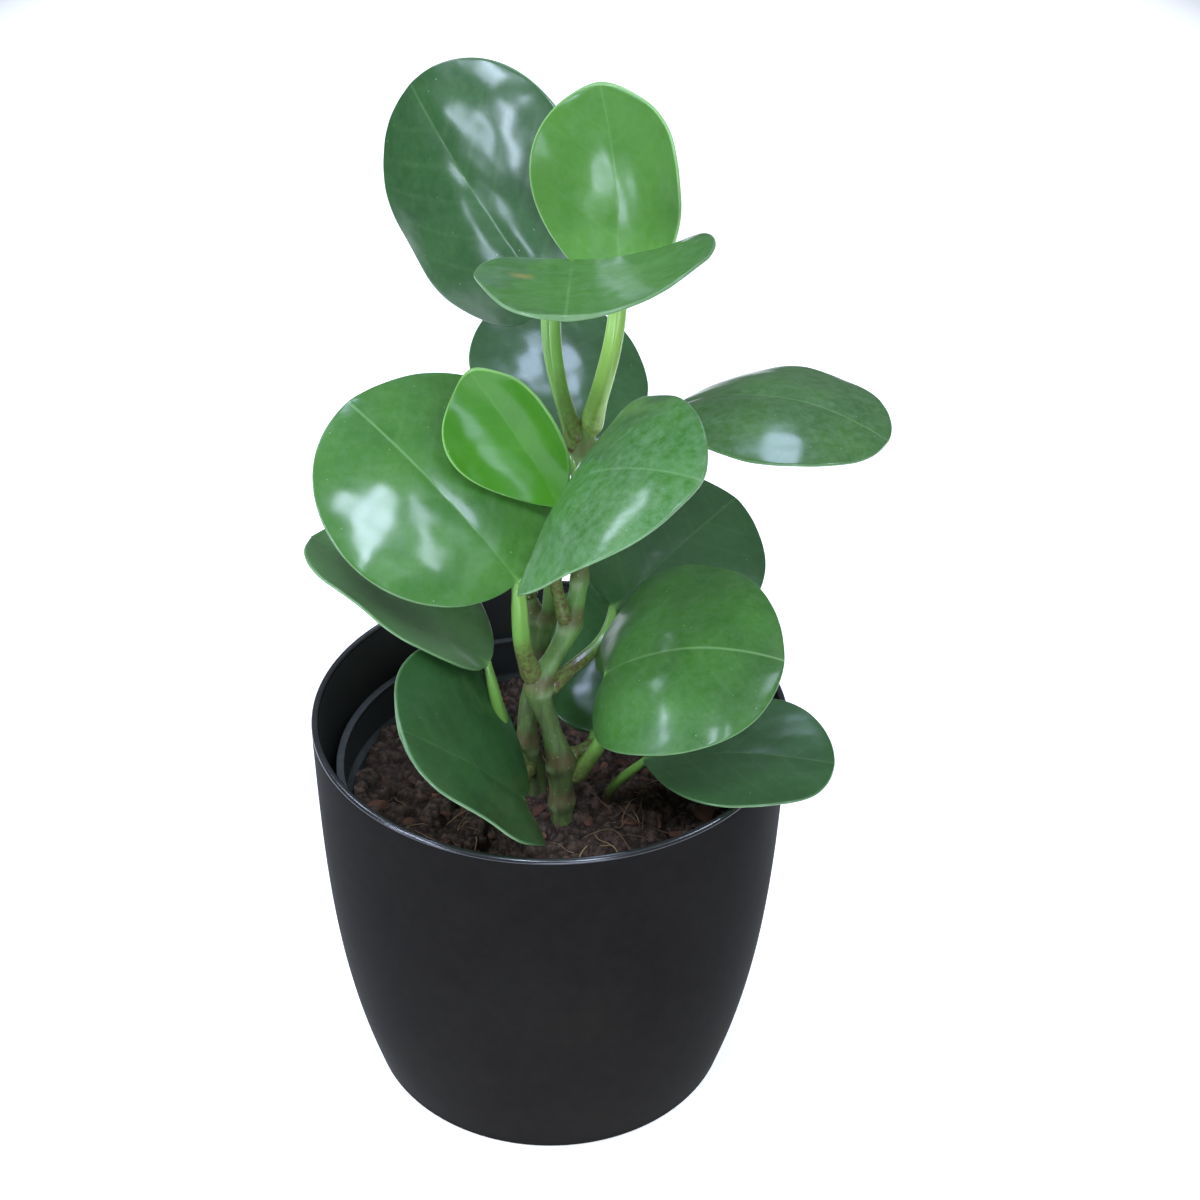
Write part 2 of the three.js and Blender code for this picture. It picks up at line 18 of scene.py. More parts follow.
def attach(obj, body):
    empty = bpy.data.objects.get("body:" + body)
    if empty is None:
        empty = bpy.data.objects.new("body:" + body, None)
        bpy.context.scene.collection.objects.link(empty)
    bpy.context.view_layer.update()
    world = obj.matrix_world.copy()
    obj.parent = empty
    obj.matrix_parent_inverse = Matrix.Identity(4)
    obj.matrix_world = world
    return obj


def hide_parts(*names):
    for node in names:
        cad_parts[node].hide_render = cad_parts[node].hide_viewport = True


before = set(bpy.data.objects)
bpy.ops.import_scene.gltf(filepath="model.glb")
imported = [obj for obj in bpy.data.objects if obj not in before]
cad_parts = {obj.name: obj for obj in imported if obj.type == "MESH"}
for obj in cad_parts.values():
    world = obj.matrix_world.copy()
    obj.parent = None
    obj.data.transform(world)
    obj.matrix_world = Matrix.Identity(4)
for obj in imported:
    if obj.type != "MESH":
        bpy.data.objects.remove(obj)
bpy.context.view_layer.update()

logging.basicConfig(level=logging.INFO, format="%(message)s")
log = logging.getLogger("potted_peperomia")

MM = 0.001
SEED = 20
SOIL_LEVEL = 86.5
ROOT = "root"

Triple = tuple[float, float, float]
Station = tuple[float, float, float, float]
Profile = list[tuple[float, float]]
Faces = list[list[int]]
Arrays = tuple[np.ndarray, np.ndarray, np.ndarray]
AddNode = Callable[..., bpy.types.Node]


def linear(colour: str) -> tuple[float, float, float, float]:
    """Turn an sRGB hex colour to the linear values that Blender's sockets hold.

    Args:
        colour: The colour as "#rrggbb".

    Returns:
        Linear red, green and blue, with an alpha of 1.
    """
    values = [int(colour[i:i + 2], 16) / 255 for i in (1, 3, 5)]
    red, green, blue = [v / 12.92 if v <= 0.04045 else ((v + 0.055) / 1.055) ** 2.4 for v in values]
    return red, green, blue, 1.0


def per_mm(size: float) -> float:
    """Give the scale of a pattern whose grain is size millimetres, on coordinates in metres."""
    return 1 / (size * MM)


def smooth(low: float, high: float, value: Any) -> Any:
    """Rise smoothly from 0 at low to 1 at high, for a number or an array."""
    share = np.clip((value - low) / (high - low), 0, 1)
    return share * share * (3 - 2 * share)


def unit(vector: np.ndarray) -> np.ndarray:
    """Scale vectors on the last axis to a length of one."""
    return vector / np.linalg.norm(vector, axis=-1, keepdims=True)


def hump(value: Any, reach: Any) -> Any:
    """Fall from 1 at zero towards 0 past the reach, on either side, as a bell does."""
    return np.exp(-((value / reach) ** 2))


def blend(first: Any, last: Any, low: float, high: float, at: float) -> Any:
    """Pass evenly from the first value at low to the last at high."""
    return first * (high - at) / (high - low) + last * (at - low) / (high - low)


def add_node(
    tree: bpy.types.NodeTree,
    kind: str,
    *values: Any,
    named: dict[str, Any] | None = None,
    **settings: Any,
) -> bpy.types.Node:
    """Add a node with its settings and links.

    Args:
        tree: The node tree that gets the node.
        kind: The node's type, without its "ShaderNode" prefix.
        values: What each enabled input gets, in their order: a value, an output socket, or a
            node, which stands for its first enabled output.
        named: The same for inputs by name.
        settings: The node's own properties.

    Returns:
        The new node.
    """
    node = tree.nodes.new("ShaderNode" + kind)
    for name, value in settings.items():
        setattr(node, name, value)
    pairs = list(zip([socket for socket in node.inputs if socket.enabled], values))
    pairs += [(node.inputs[name], value) for name, value in (named or {}).items()]
    for socket, value in pairs:
        if isinstance(value, bpy.types.Node):
            value = next(output for output in value.outputs if output.enabled)
        if isinstance(value, bpy.types.NodeSocket):
            tree.links.new(value, socket)
        else:
            socket.default_value = value
    return node


@dataclass(frozen=True)
class Finish:
    """A named finish, which each kind of surface below fills with its own nodes."""

    name: str

    def shader(self, add: AddNode) -> bpy.types.Node:
        """Add the surface's nodes and give its shader."""
        raise NotImplementedError(self.name)

    def build(self) -> bpy.types.Material:
        """Make the finish's node material.

        Returns:
            The material.
        """
        material = bpy.data.materials.new(self.name)
        material.use_nodes = True
        material.node_tree.nodes.clear()
        add = partial(add_node, material.node_tree)
        add("OutputMaterial", self.shader(add))
        return material


@dataclass(frozen=True)
class WaxyLeaf(Finish):
    """Living succulent leaf: thick green flesh under a clear waxy cuticle.

    The cuticle gives a tight sheen that mirrors windows softly. Old leaves hold a film of
    greenhouse dust and dried lime specks, the margin is a thin pale band where the flesh runs
    out, and the underside is paler and dull. The stalk is yellow-green and turns purple-brown
    at its foot.
    """

    face: str
    shade: str
    back: str = "#5f8a50"
    vein: str = "#8db574"
    rim: str = "#93b382"
    rim_light: float = 0.4
    stalk: str = "#8bbd58"
    foot: str = "#6b4439"
    foot_start: float = 0.72
    dust: float = 0.1
    dust_colour: str = "#9dbd98"
    lime: str = "#c3cfbd"
    rib_light: float = 0.3
    roughness: float = 0.3
    coat: float = 0.65
    scar_place: Triple = (0, 0, 0)
    scar_size: float = 1
    scar: str = "#8d7c4f"

    def shader(self, add: AddNode) -> bpy.types.Node:
        """Add the flesh, the veins, the dust, the underside, the stalk and the wax.

        Args:
            add: Adds a node to the material.

        Returns:
            The shader.
        """
        place = add("TexCoord").outputs["Object"]
        leaf = add("Attribute", attribute_name="leaf").outputs["Vector"]
        growth = add("Attribute", attribute_name="growth").outputs["Vector"]
        beside, rim, vein_phase = add("SeparateXYZ", leaf).outputs
        side, stalk, along = add("SeparateXYZ", growth).outputs
        face, shade, vein, flesh = map(linear, (self.face, self.shade, self.vein, self.stalk))

        # Chlorophyll lies in soft clouds about 14 mm across, and in cells too fine to tell apart
        clouds = add("TexNoise", place, per_mm(14), 3.0)
        cloud_share = add("MapRange", clouds, 0.3, 0.72, 0.0, 0.8)
        cells = add("TexNoise", place, per_mm(1.1), 2.0)
        cell_share = add("MapRange", cells, 0.3, 0.8, 0.0, 0.3)

        # Side veins show as very faint light bands that fade out towards the margin, and the
        # midrib as one thin line that is pale in the outer part
        off_vein = add("Math", vein_phase, 0.5, operation="PINGPONG")
        vein_line = add("MapRange", off_vein, 0.0, 0.13, 1.0, 0.0, interpolation_type="SMOOTHSTEP")
        inland = add("MapRange", rim, 2.0, 9.0)
        nerve = add("Math", vein_line, inland, operation="MULTIPLY")
        nerve_share = add("Math", nerve, 0.035, operation="MULTIPLY")
        rib = add("Math", beside, operation="ABSOLUTE")
        rib_line = add("MapRange", rib, 0.1, 0.5, self.rib_light, 0.0)
        outer = add("MapRange", along, 0.2, 0.6, 0.25)
        rib_share = add("Math", rib_line, outer, operation="MULTIPLY")

        # The stalk's flesh runs on into the blade as a wedge that is about 4 mm wide at its start
        narrowing = add("Math", along, 14.0, rib, operation="MULTIPLY_ADD")
        wedge_share = add("MapRange", narrowing, 0.6, 2.4, 0.55, 0.0)

        # Dust lies in a thin film on the upper face, with lime specks about a quarter of a
        # millimetre across, which are commoner near the margin
        film = add("TexNoise", place, per_mm(2.6), 6.0, 0.7)
        film_share = add("MapRange", film, 0.35, 0.75, 0.0, self.dust)
        grit = add("TexVoronoi", place, per_mm(1.9))
        speck = add("MapRange", grit, 0.04, 0.1, 0.6, 0.0)
        chance = add("SeparateXYZ", grit.outputs["Color"])
        less = 0.3 * self.dust
        rarity = add("MapRange", rim, 0.0, 9.0, 0.78 - less, 0.9 - less)
        chosen = add("Math", chance, rarity, operation="GREATER_THAN")
        speck_share = add("Math", speck, chosen, operation="MULTIPLY")

        # One dried scar with a ragged edge, where the leaf has rubbed on another
        reach = self.scar_size * MM
        spot = tuple(c * MM for c in self.scar_place)
        off_scar = add("VectorMath", place, spot, operation="DISTANCE")
        ragged = add("Math", film, 1.6 * reach, off_scar, operation="MULTIPLY_ADD")
        scar_share = add("MapRange", ragged, 0.9 * reach, 1.8 * reach, 0.75, 0.0)

        # Each of these lies over the one before it
        upper = face
        for share, colour in (
            (cloud_share, shade),
            (cell_share, shade),
            (nerve_share, vein),
            (rib_share, vein),
            (wedge_share, flesh),
            (film_share, linear(self.dust_colour)),
            (speck_share, linear(self.lime)),
            (scar_share, linear(self.scar)),
        ):
            upper = add("Mix", share, upper, colour, data_type="RGBA")

        # The underside shows the same veins darker on a paler ground
        under_vein = add("Mix", nerve_share, linear(self.back), shade, data_type="RGBA")
        under_cells = add("Mix", cell_share, under_vein, face, data_type="RGBA")
        blade = add("Mix", side, under_cells, upper, data_type="RGBA")
        rim_share = add("MapRange", rim, 0.05, 0.5, self.rim_light, 0.0)
        edged = add("Mix", rim_share, blade, linear(self.rim), data_type="RGBA")

        # The stalk's purple-brown foot fades upward in uneven streaks
        streak = add("TexNoise", place, per_mm(3), 3.0)
        uneven = add("Math", streak, 0.3, stalk, operation="MULTIPLY_ADD")
        foot_share = add("MapRange", uneven, self.foot_start + 0.08, self.foot_start + 0.4, 0.0, 0.9)
        flecks = add("MapRange", cells, 0.35, 0.7, 1.0, 0.45)
        flecked = add("Math", foot_share, flecks, operation="MULTIPLY")
        skin = add("Mix", flecked, flesh, linear(self.foot), data_type="RGBA")
        stalk_share = add("MapRange", stalk, 0.0, 0.12)
        colour = add("Mix", stalk_share, edged, skin, data_type="RGBA")

        # Dust and the underside scatter the sheen, and the skin is never quite even
        dulled = add("Math", film_share, 0.35, self.roughness, operation="MULTIPLY_ADD")
        under_dull = add("MapRange", side, 0.0, 1.0, 0.16, 0.0)
        rough = add("Math", dulled, under_dull, operation="ADD")
        relief = None
        for pattern, strength, distance in (
            (add("TexNoise", place, per_mm(0.7), 2.0), 0.1, 0.1),
            (add("TexNoise", place, per_mm(5), 1.0), 0.5, 0.4),
            (nerve, 0.12, 0.1),
        ):
            depth = {"Height": pattern, "Strength": strength, "Distance": distance * MM}
            below = {"Normal": relief} if relief else {}
            relief = add("Bump", named=depth | below, invert=pattern is nerve)
        return add("BsdfPrincipled", named={
            "Base Color": colour,
            "Roughness": rough,
            "Normal": relief,
            "IOR": 1.45,
            "Specular IOR Level": 0.22,
            "Coat Weight": self.coat,
            "Coat Roughness": 0.18,
            "Subsurface Weight": 0.1,
            "Subsurface Radius": (0.6, 1.0, 0.3),
            "Subsurface Scale": 0.0012,
        })


@dataclass(frozen=True)
class FleshyStem(Finish):
    """Living succulent stem: smooth olive skin, brown at the nodes, with pale leaf scars."""

    name: str = "fleshy_stem"
    young: str = "#84b25e"
    skin: str = "#6b8548"
    old_skin: str = "#5a6040"
    node: str = "#6f503c"
    scar: str = "#a9ba84"

    def shader(self, add: AddNode) -> bpy.types.Node:
        """Add the ageing skin, the nodes, the scars and the pores.

        Args:
            add: Adds a node to the material.

        Returns:
            The shader.
        """
        place = add("TexCoord").outputs["Object"]
        growth = add("Attribute", attribute_name="growth").outputs["Vector"]
        nodal, scar, age = add("SeparateXYZ", growth).outputs

        # Streaks run up the stem, about 1.5 mm apart
        lengthwise = add("Mapping", place, named={"Scale": (1.0, 1.0, 0.12)})
        streaks = add("TexNoise", lengthwise, per_mm(1.5), 4.0)
        streak_share = add("MapRange", streaks, 0.38, 0.7)
        aged = add("Math", streak_share, age, operation="MULTIPLY")
        grown = add("Mix", age, linear(self.young), linear(self.skin), data_type="RGBA")
        skin = add("Mix", aged, grown, linear(self.old_skin), data_type="RGBA")
        blotches = add("TexNoise", place, per_mm(4), 5.0)
        blotched = add("Math", blotches, 0.9, nodal, operation="MULTIPLY_ADD")
        node_share = add("MapRange", blotched, 0.7, 1.5, 0.0, 0.65)
        browned = add("Mix", node_share, skin, linear(self.node), data_type="RGBA")
        scarred = add("Mix", scar, browned, linear(self.scar), data_type="RGBA")

        # Breathing pores show as pale dots about 0.4 mm across
        pores = add("TexVoronoi", place, per_mm(1.8))
        pore_share = add("MapRange", pores, 0.08, 0.18, 0.5, 0.0)
        dotted = add("Mix", pore_share, scarred, linear(self.scar), data_type="RGBA")
        ridges = add("Bump", named={"Height": streaks, "Strength": 0.35, "Distance": 0.4 * MM})
        return add("BsdfPrincipled", named={
            "Base Color": dotted,
            "Roughness": 0.46,
            "Normal": ridges,
            "IOR": 1.42,
            "Coat Weight": 0.15,
            "Coat Roughness": 0.3,
            "Subsurface Weight": 0.1,
            "Subsurface Radius": (0.9, 1.0, 0.4),
            "Subsurface Scale": 0.001,
        })


@dataclass(frozen=True)
class MouldedPlastic(Finish):
    """Injection-moulded polypropylene, dyed black.

    The mould's fine spark texture makes it satin. Handling leaves faint upright scuffs, and
    dust settles on what faces up.
    """

    body: str
    worn: str
    dust: str = "#8a8478"
    roughness: float = 0.5
    gloss: float = 0.012
    grain: float = 0.35
    dust_share: float = 0.15

    def shader(self, add: AddNode) -> bpy.types.Node:
        """Add the dye, the scuffs, the dust and the spark texture.

        Args:
            add: Adds a node to the material.

        Returns:
            The shader.
        """
        place = add("TexCoord").outputs["Object"]
        clouds = add("TexNoise", place, per_mm(38), 3.0)
        cloud_share = add("MapRange", clouds, 0.35, 0.7)
        body = add("Mix", cloud_share, linear(self.body), linear(self.worn), data_type="RGBA")

        # Scuffs are fine upright lines, a fifth of a millimetre wide and about a centimetre long
        upright = add("Mapping", place, named={"Scale": (1.0, 1.0, 0.02)})
        scuffs = add("TexNoise", upright, per_mm(0.5), 3.0)
        patches = add("TexNoise", place, per_mm(16), 2.0)
        patch_share = add("MapRange", patches, 0.5, 0.75)
        scuff_share = add("MapRange", scuffs, 0.6, 0.78)
        scuffed = add("Math", patch_share, scuff_share, operation="MULTIPLY")

        # Dust settles on ledges and in a thin veil
        facing = add("SeparateXYZ", add("NewGeometry").outputs["Normal"])
        ledge = add("MapRange", facing.outputs[2], 0.25, 0.95, 0.1)
        veil = add("TexNoise", place, per_mm(5), 8.0, 0.75)
        veil_share = add("MapRange", veil, 0.4, 0.8, 0.0, self.dust_share)
        dust_share = add("Math", ledge, veil_share, operation="MULTIPLY")
        colour = add("Mix", dust_share, body, linear(self.dust), data_type="RGBA")
        dulled = add("MapRange", clouds, 0.3, 0.75, self.roughness - 0.04, self.roughness + 0.06)
        rough = add("Math", scuffed, 0.12, dulled, operation="MULTIPLY_ADD")
        texture = add("TexNoise", place, per_mm(self.grain), 2.0)
        spark = add("Bump", named={"Height": texture, "Strength": 0.25, "Distance": 0.06 * MM})
        return add("BsdfPrincipled", named={
            "Base Color": colour,
            "Roughness": rough,
            "Normal": spark,
            "IOR": 1.49,
            "Specular IOR Level": self.gloss,
        })


@dataclass(frozen=True)
class Litter(Finish):
    """Dead plant matter: peat crumbs, bark chips or coir fibres, dull and dry.

    Each crumb, chip or fibre carries its own tone, from 0 to 1, between the two colours, and
    the soil bed's tone is also darkened in its hollows as painted shade.
    """

    dark: str
    light: str
    grain: float
    relief: float
    roughness: float = 0.95

    def shader(self, add: AddNode) -> bpy.types.Node:
        """Add the crumb's tone, its grain and its relief.

        Args:
            add: Adds a node to the material.

        Returns:
            The shader.
        """
        place = add("TexCoord").outputs["Object"]
        growth = add("Attribute", attribute_name="growth").outputs["Vector"]
        tone = add("SeparateXYZ", growth)
        grain = add("TexNoise", place, per_mm(self.grain), 5.0, 0.65)
        varied = add("Math", grain, 0.9, tone, operation="MULTIPLY_ADD")
        share = add("MapRange", varied, 0.3, 1.4)
        colour = add("Mix", share, linear(self.dark), linear(self.light), data_type="RGBA")
        depth = {"Height": grain, "Strength": 0.8, "Distance": self.relief * MM}
        return add("BsdfPrincipled", named={
            "Base Color": colour,
            "Roughness": self.roughness,
            "Normal": add("Bump", named=depth),
            "IOR": 1.4,
            "Specular IOR Level": 0.25,
        })


@dataclass(frozen=True)
class PaperSheet(Finish):
    """A white paper sheet on a dark table.

    The sheet is lit faintly from beneath, as for a cut-out picture, and ends beyond the
    picture, so that the waxy leaves mirror a dim room between the window panes.
    """

    paper: str = "#f7f7f5"
    table: str = "#505052"
    centre: Triple = (0.03, 0.45, 0)
    reach: Triple = (0.5, 0.95, 1)
    glow: float = 0.6

    def shader(self, add: AddNode) -> bpy.types.Node:
        """Add the oval sheet and the table round it.

        Args:
            add: Adds a node to the material.

        Returns:
            The shader.
        """
        place = add("TexCoord").outputs["Object"]
        oval = {"Location": self.centre, "Scale": self.reach}
        scaled = add("Mapping", place, named=oval, vector_type="TEXTURE")
        away = add("VectorMath", scaled, operation="LENGTH")
        beyond = add("MapRange", away, 0.85, 1.15, interpolation_type="SMOOTHSTEP")
        colour = add("Mix", beyond, linear(self.paper), linear(self.table), data_type="RGBA")
        return add("BsdfPrincipled", named={
            "Base Color": colour,
            "Roughness": 0.9,
            "Specular IOR Level": 0.1,
            "Emission Color": linear(self.paper),
            "Emission Strength": add("MapRange", beyond, 0.0, 1.0, self.glow, 0.0),
        })


class LeafFinish(Enum):
    """The finishes of the leaves, by age and by how dusty each leaf is; the inner one is also lighter
    as painted light for a leaf in shade.
    """

    GREEN = WaxyLeaf("leaf_green", "#4f8430", "#366a25", rib_light=0.45)
    HAZY = WaxyLeaf(
        "leaf_hazy", "#4c7f32", "#346226", dust=0.12, rib_light=0.6, roughness=0.36, coat=0.35,
    )
    # Painted light: a lighter green for the low leaf that sits in shade under the large left leaf,
    # partly its own paler colour and partly standing in for light
    INNER_PAINTED_LIGHT = WaxyLeaf("leaf_inner_painted_light", "#628e50", "#4f7740", rib_light=0.05)
    DUSTY = WaxyLeaf("leaf_dusty", "#487630", "#366128", dust=0.24, rib_light=0.3)
    CENTRE = WaxyLeaf(
        "leaf_dusty_scarred", "#4e8434", "#3a6d2d", dust=0.38, rib_light=0.3,
        scar_place=(-4, -39, 187), scar_size=4, scar="#7d8256",
    )
    CROWN_FRONT = WaxyLeaf(
        "leaf_dusty_torn", "#4b7a30", "#38662b", dust=0.22, rib_light=0.25,
        scar_place=(-6.5, -23.9, 254.9), scar_size=3.8, scar="#a8944c",
    )
    CROWN_LEFT = WaxyLeaf(
        "leaf_crown", "#37602f", "#2b4f27", dust=0.06, rib_light=0.15, rim_light=0.3,
    )
    DARK = WaxyLeaf("leaf_dark", "#3a6533", "#2f5629", dust=0.05, rib_light=0.12, rim_light=0.3)
    LIGHT = WaxyLeaf(
        "leaf_light", "#60953c", "#4e8430", back="#7fae62", vein="#9cc474", rim="#a4cf86",
        rim_light=0.6, rib_light=0.12, stalk="#b2de6c", foot="#7c8546",
    )
    YOUNG = WaxyLeaf(
        "leaf_young", "#529624", "#40821c", back="#7fb957", vein="#8fc45c", rim="#a6d47c",
        rim_light=0.6, dust=0.02, rib_light=0.1, foot="#6f8a3c", coat=0.5,
    )


BLACK_SATIN = MouldedPlastic("cachepot_polypropylene", "#1c1a19", "#211f1c")
# Painted light: the inside wall is a lighter copy of the black plastic that stands in for light
# reaching into the pot, with some real dust on it
INSIDE_DUST_AND_PAINTED_LIGHT = MouldedPlastic(
    "cachepot_inside_dust_and_painted_light", "#393837", "#42413f", gloss=0.2, dust_share=0.3,
)
RUBBED_LIP = MouldedPlastic(
    "cachepot_rubbed_lip", "#17171a", "#1b1b1e", roughness=0.22, gloss=1.0, grain=0.8,
    dust_share=0.05,
)
DARK_GREY = MouldedPlastic("nursery_polypropylene", "#424345", "#4a4b4c", gloss=0.2, dust_share=0.25)
PEAT = Litter("peat", "#211b17", "#6e5a4e", grain=0.6, relief=0.5)
BARK = Litter("bark_chips", "#3d2a21", "#775242", grain=1.2, relief=0.25, roughness=0.85)
COIR = Litter("coir_fibres", "#5a4634", "#a88c68", grain=1.5, relief=0.05, roughness=0.7)


def add_object(name: str, data: bpy.types.ID) -> bpy.types.Object:
    """Put a new object in the scene.

    Args:
        name: The object's name.
        data: Its mesh, camera or light.

    Returns:
        The new object.
    """
    made = bpy.data.objects.new(name, data)
    bpy.context.scene.collection.objects.link(made)
    return made


def shown(
    name: str,
    points: np.ndarray,
    faces: Faces,
    finish: bpy.types.Material,
    attributes: dict[str, np.ndarray] | None = None,
) -> bpy.types.Object:
    """Make a smooth closed piece that rides on the root body.

    Args:
        name: The piece's name.
        points: Corner points in millimetres, one row each.
        faces: Corner numbers of each face.
        finish: The material.
        attributes: Vector attributes by name, one row a point.

    Returns:
        The new object.
    """
    mesh = bpy.data.meshes.new(name)
    mesh.from_pydata((points * MM).tolist(), [], faces)
    for key, values in (attributes or {}).items():
        store(mesh, key, values)
    turned = bmesh.new()
    turned.from_mesh(mesh)
    bmesh.ops.recalc_face_normals(turned, faces=turned.faces)
    turned.to_mesh(mesh)
    turned.free()
    mesh.shade_smooth()
    mesh.materials.append(finish)
    piece = add_object(name, mesh)
    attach(piece, ROOT)
    log.info("%s: %d points, %d faces", name, len(mesh.vertices), len(mesh.polygons))
    return piece


def store(mesh: bpy.types.Mesh, key: str, values: np.ndarray) -> None:
    """Store a vector for each point of a mesh.

    Args:
        mesh: The mesh.
        key: The attribute's name.
        values: The vectors, one row a point.
    """
    stored = mesh.attributes.new(key, "FLOAT_VECTOR", "POINT")
    stored.data.foreach_set("vector", values.astype(np.float32).ravel())


def points_of(mesh: bpy.types.Mesh) -> np.ndarray:
    """Read a mesh's points.

    Args:
        mesh: The mesh.

    Returns:
        The points in millimetres, one row each.
    """
    flat = np.zeros(len(mesh.vertices) * 3, np.float32)
    mesh.vertices.foreach_get("co", flat)
    return flat.reshape(-1, 3).astype(float) / MM


def apply_modifiers(piece: bpy.types.Object) -> None:
    """Replace a piece's mesh by what its modifiers make of it.

    Args:
        piece: The object.
    """
    bpy.context.view_layer.update()
    graph = bpy.context.evaluated_depsgraph_get()
    made = bpy.data.meshes.new_from_object(piece.evaluated_get(graph))
    piece.modifiers.clear()
    piece.data = made
    made.shade_smooth()


def skin_rings(rings: np.ndarray) -> tuple[np.ndarray, Faces]:
    """Skin a row of closed rings and fan its two ends.

    Args:
        rings: Points by ring, by place round the ring, by coordinate.

    Returns:
        The points and the faces of one closed surface.
    """
    count, size = rings.shape[:2]
    here = np.arange(size)
    onward = np.roll(here, -1)
    start = np.arange(count - 1)[:, None] * size
    corners = (start + here, start + onward, start + size + onward, start + size + here)
    sides = np.stack(corners, axis=-1)
    first = count * size
    last = first - size
    foot = np.stack([np.full(size, first), onward, here], axis=-1)
    head = np.stack([np.full(size, first + 1), last + here, last + onward], axis=-1)
    ends = np.stack([rings[0].mean(axis=0), rings[-1].mean(axis=0)])
    points = np.concatenate([rings.reshape(-1, 3), ends])
    return points, sides.reshape(-1, 4).tolist() + foot.tolist() + head.tolist()


def join(skins: list[tuple[np.ndarray, Faces]]) -> tuple[np.ndarray, Faces]:
    """Put several skins in one.

    Args:
        skins: The points and faces of each.

    Returns:
        All the points, and the faces with their corners numbered on.
    """
    faces = []
    count = 0
    for points, its_faces in skins:
        faces += [[corner + count for corner in face] for face in its_faces]
        count += len(points)
    return np.concatenate([points for points, _ in skins]), faces


def arc(distance: Any, reach: float, degrees: float) -> tuple[Any, Any, Any]:
    """Follow an arc that turns by an angle over a reach.

    Args:
        distance: Length along the arc.
        reach: Length over which the arc turns by the angle.
        degrees: The angle.

    Returns:
        The run, the rise and the angle turned, in radians.
    """
    turn = (math.radians(degrees) or 1e-6) / reach
    return np.sin(turn * distance) / turn, (1 - np.cos(turn * distance)) / turn, turn * distance


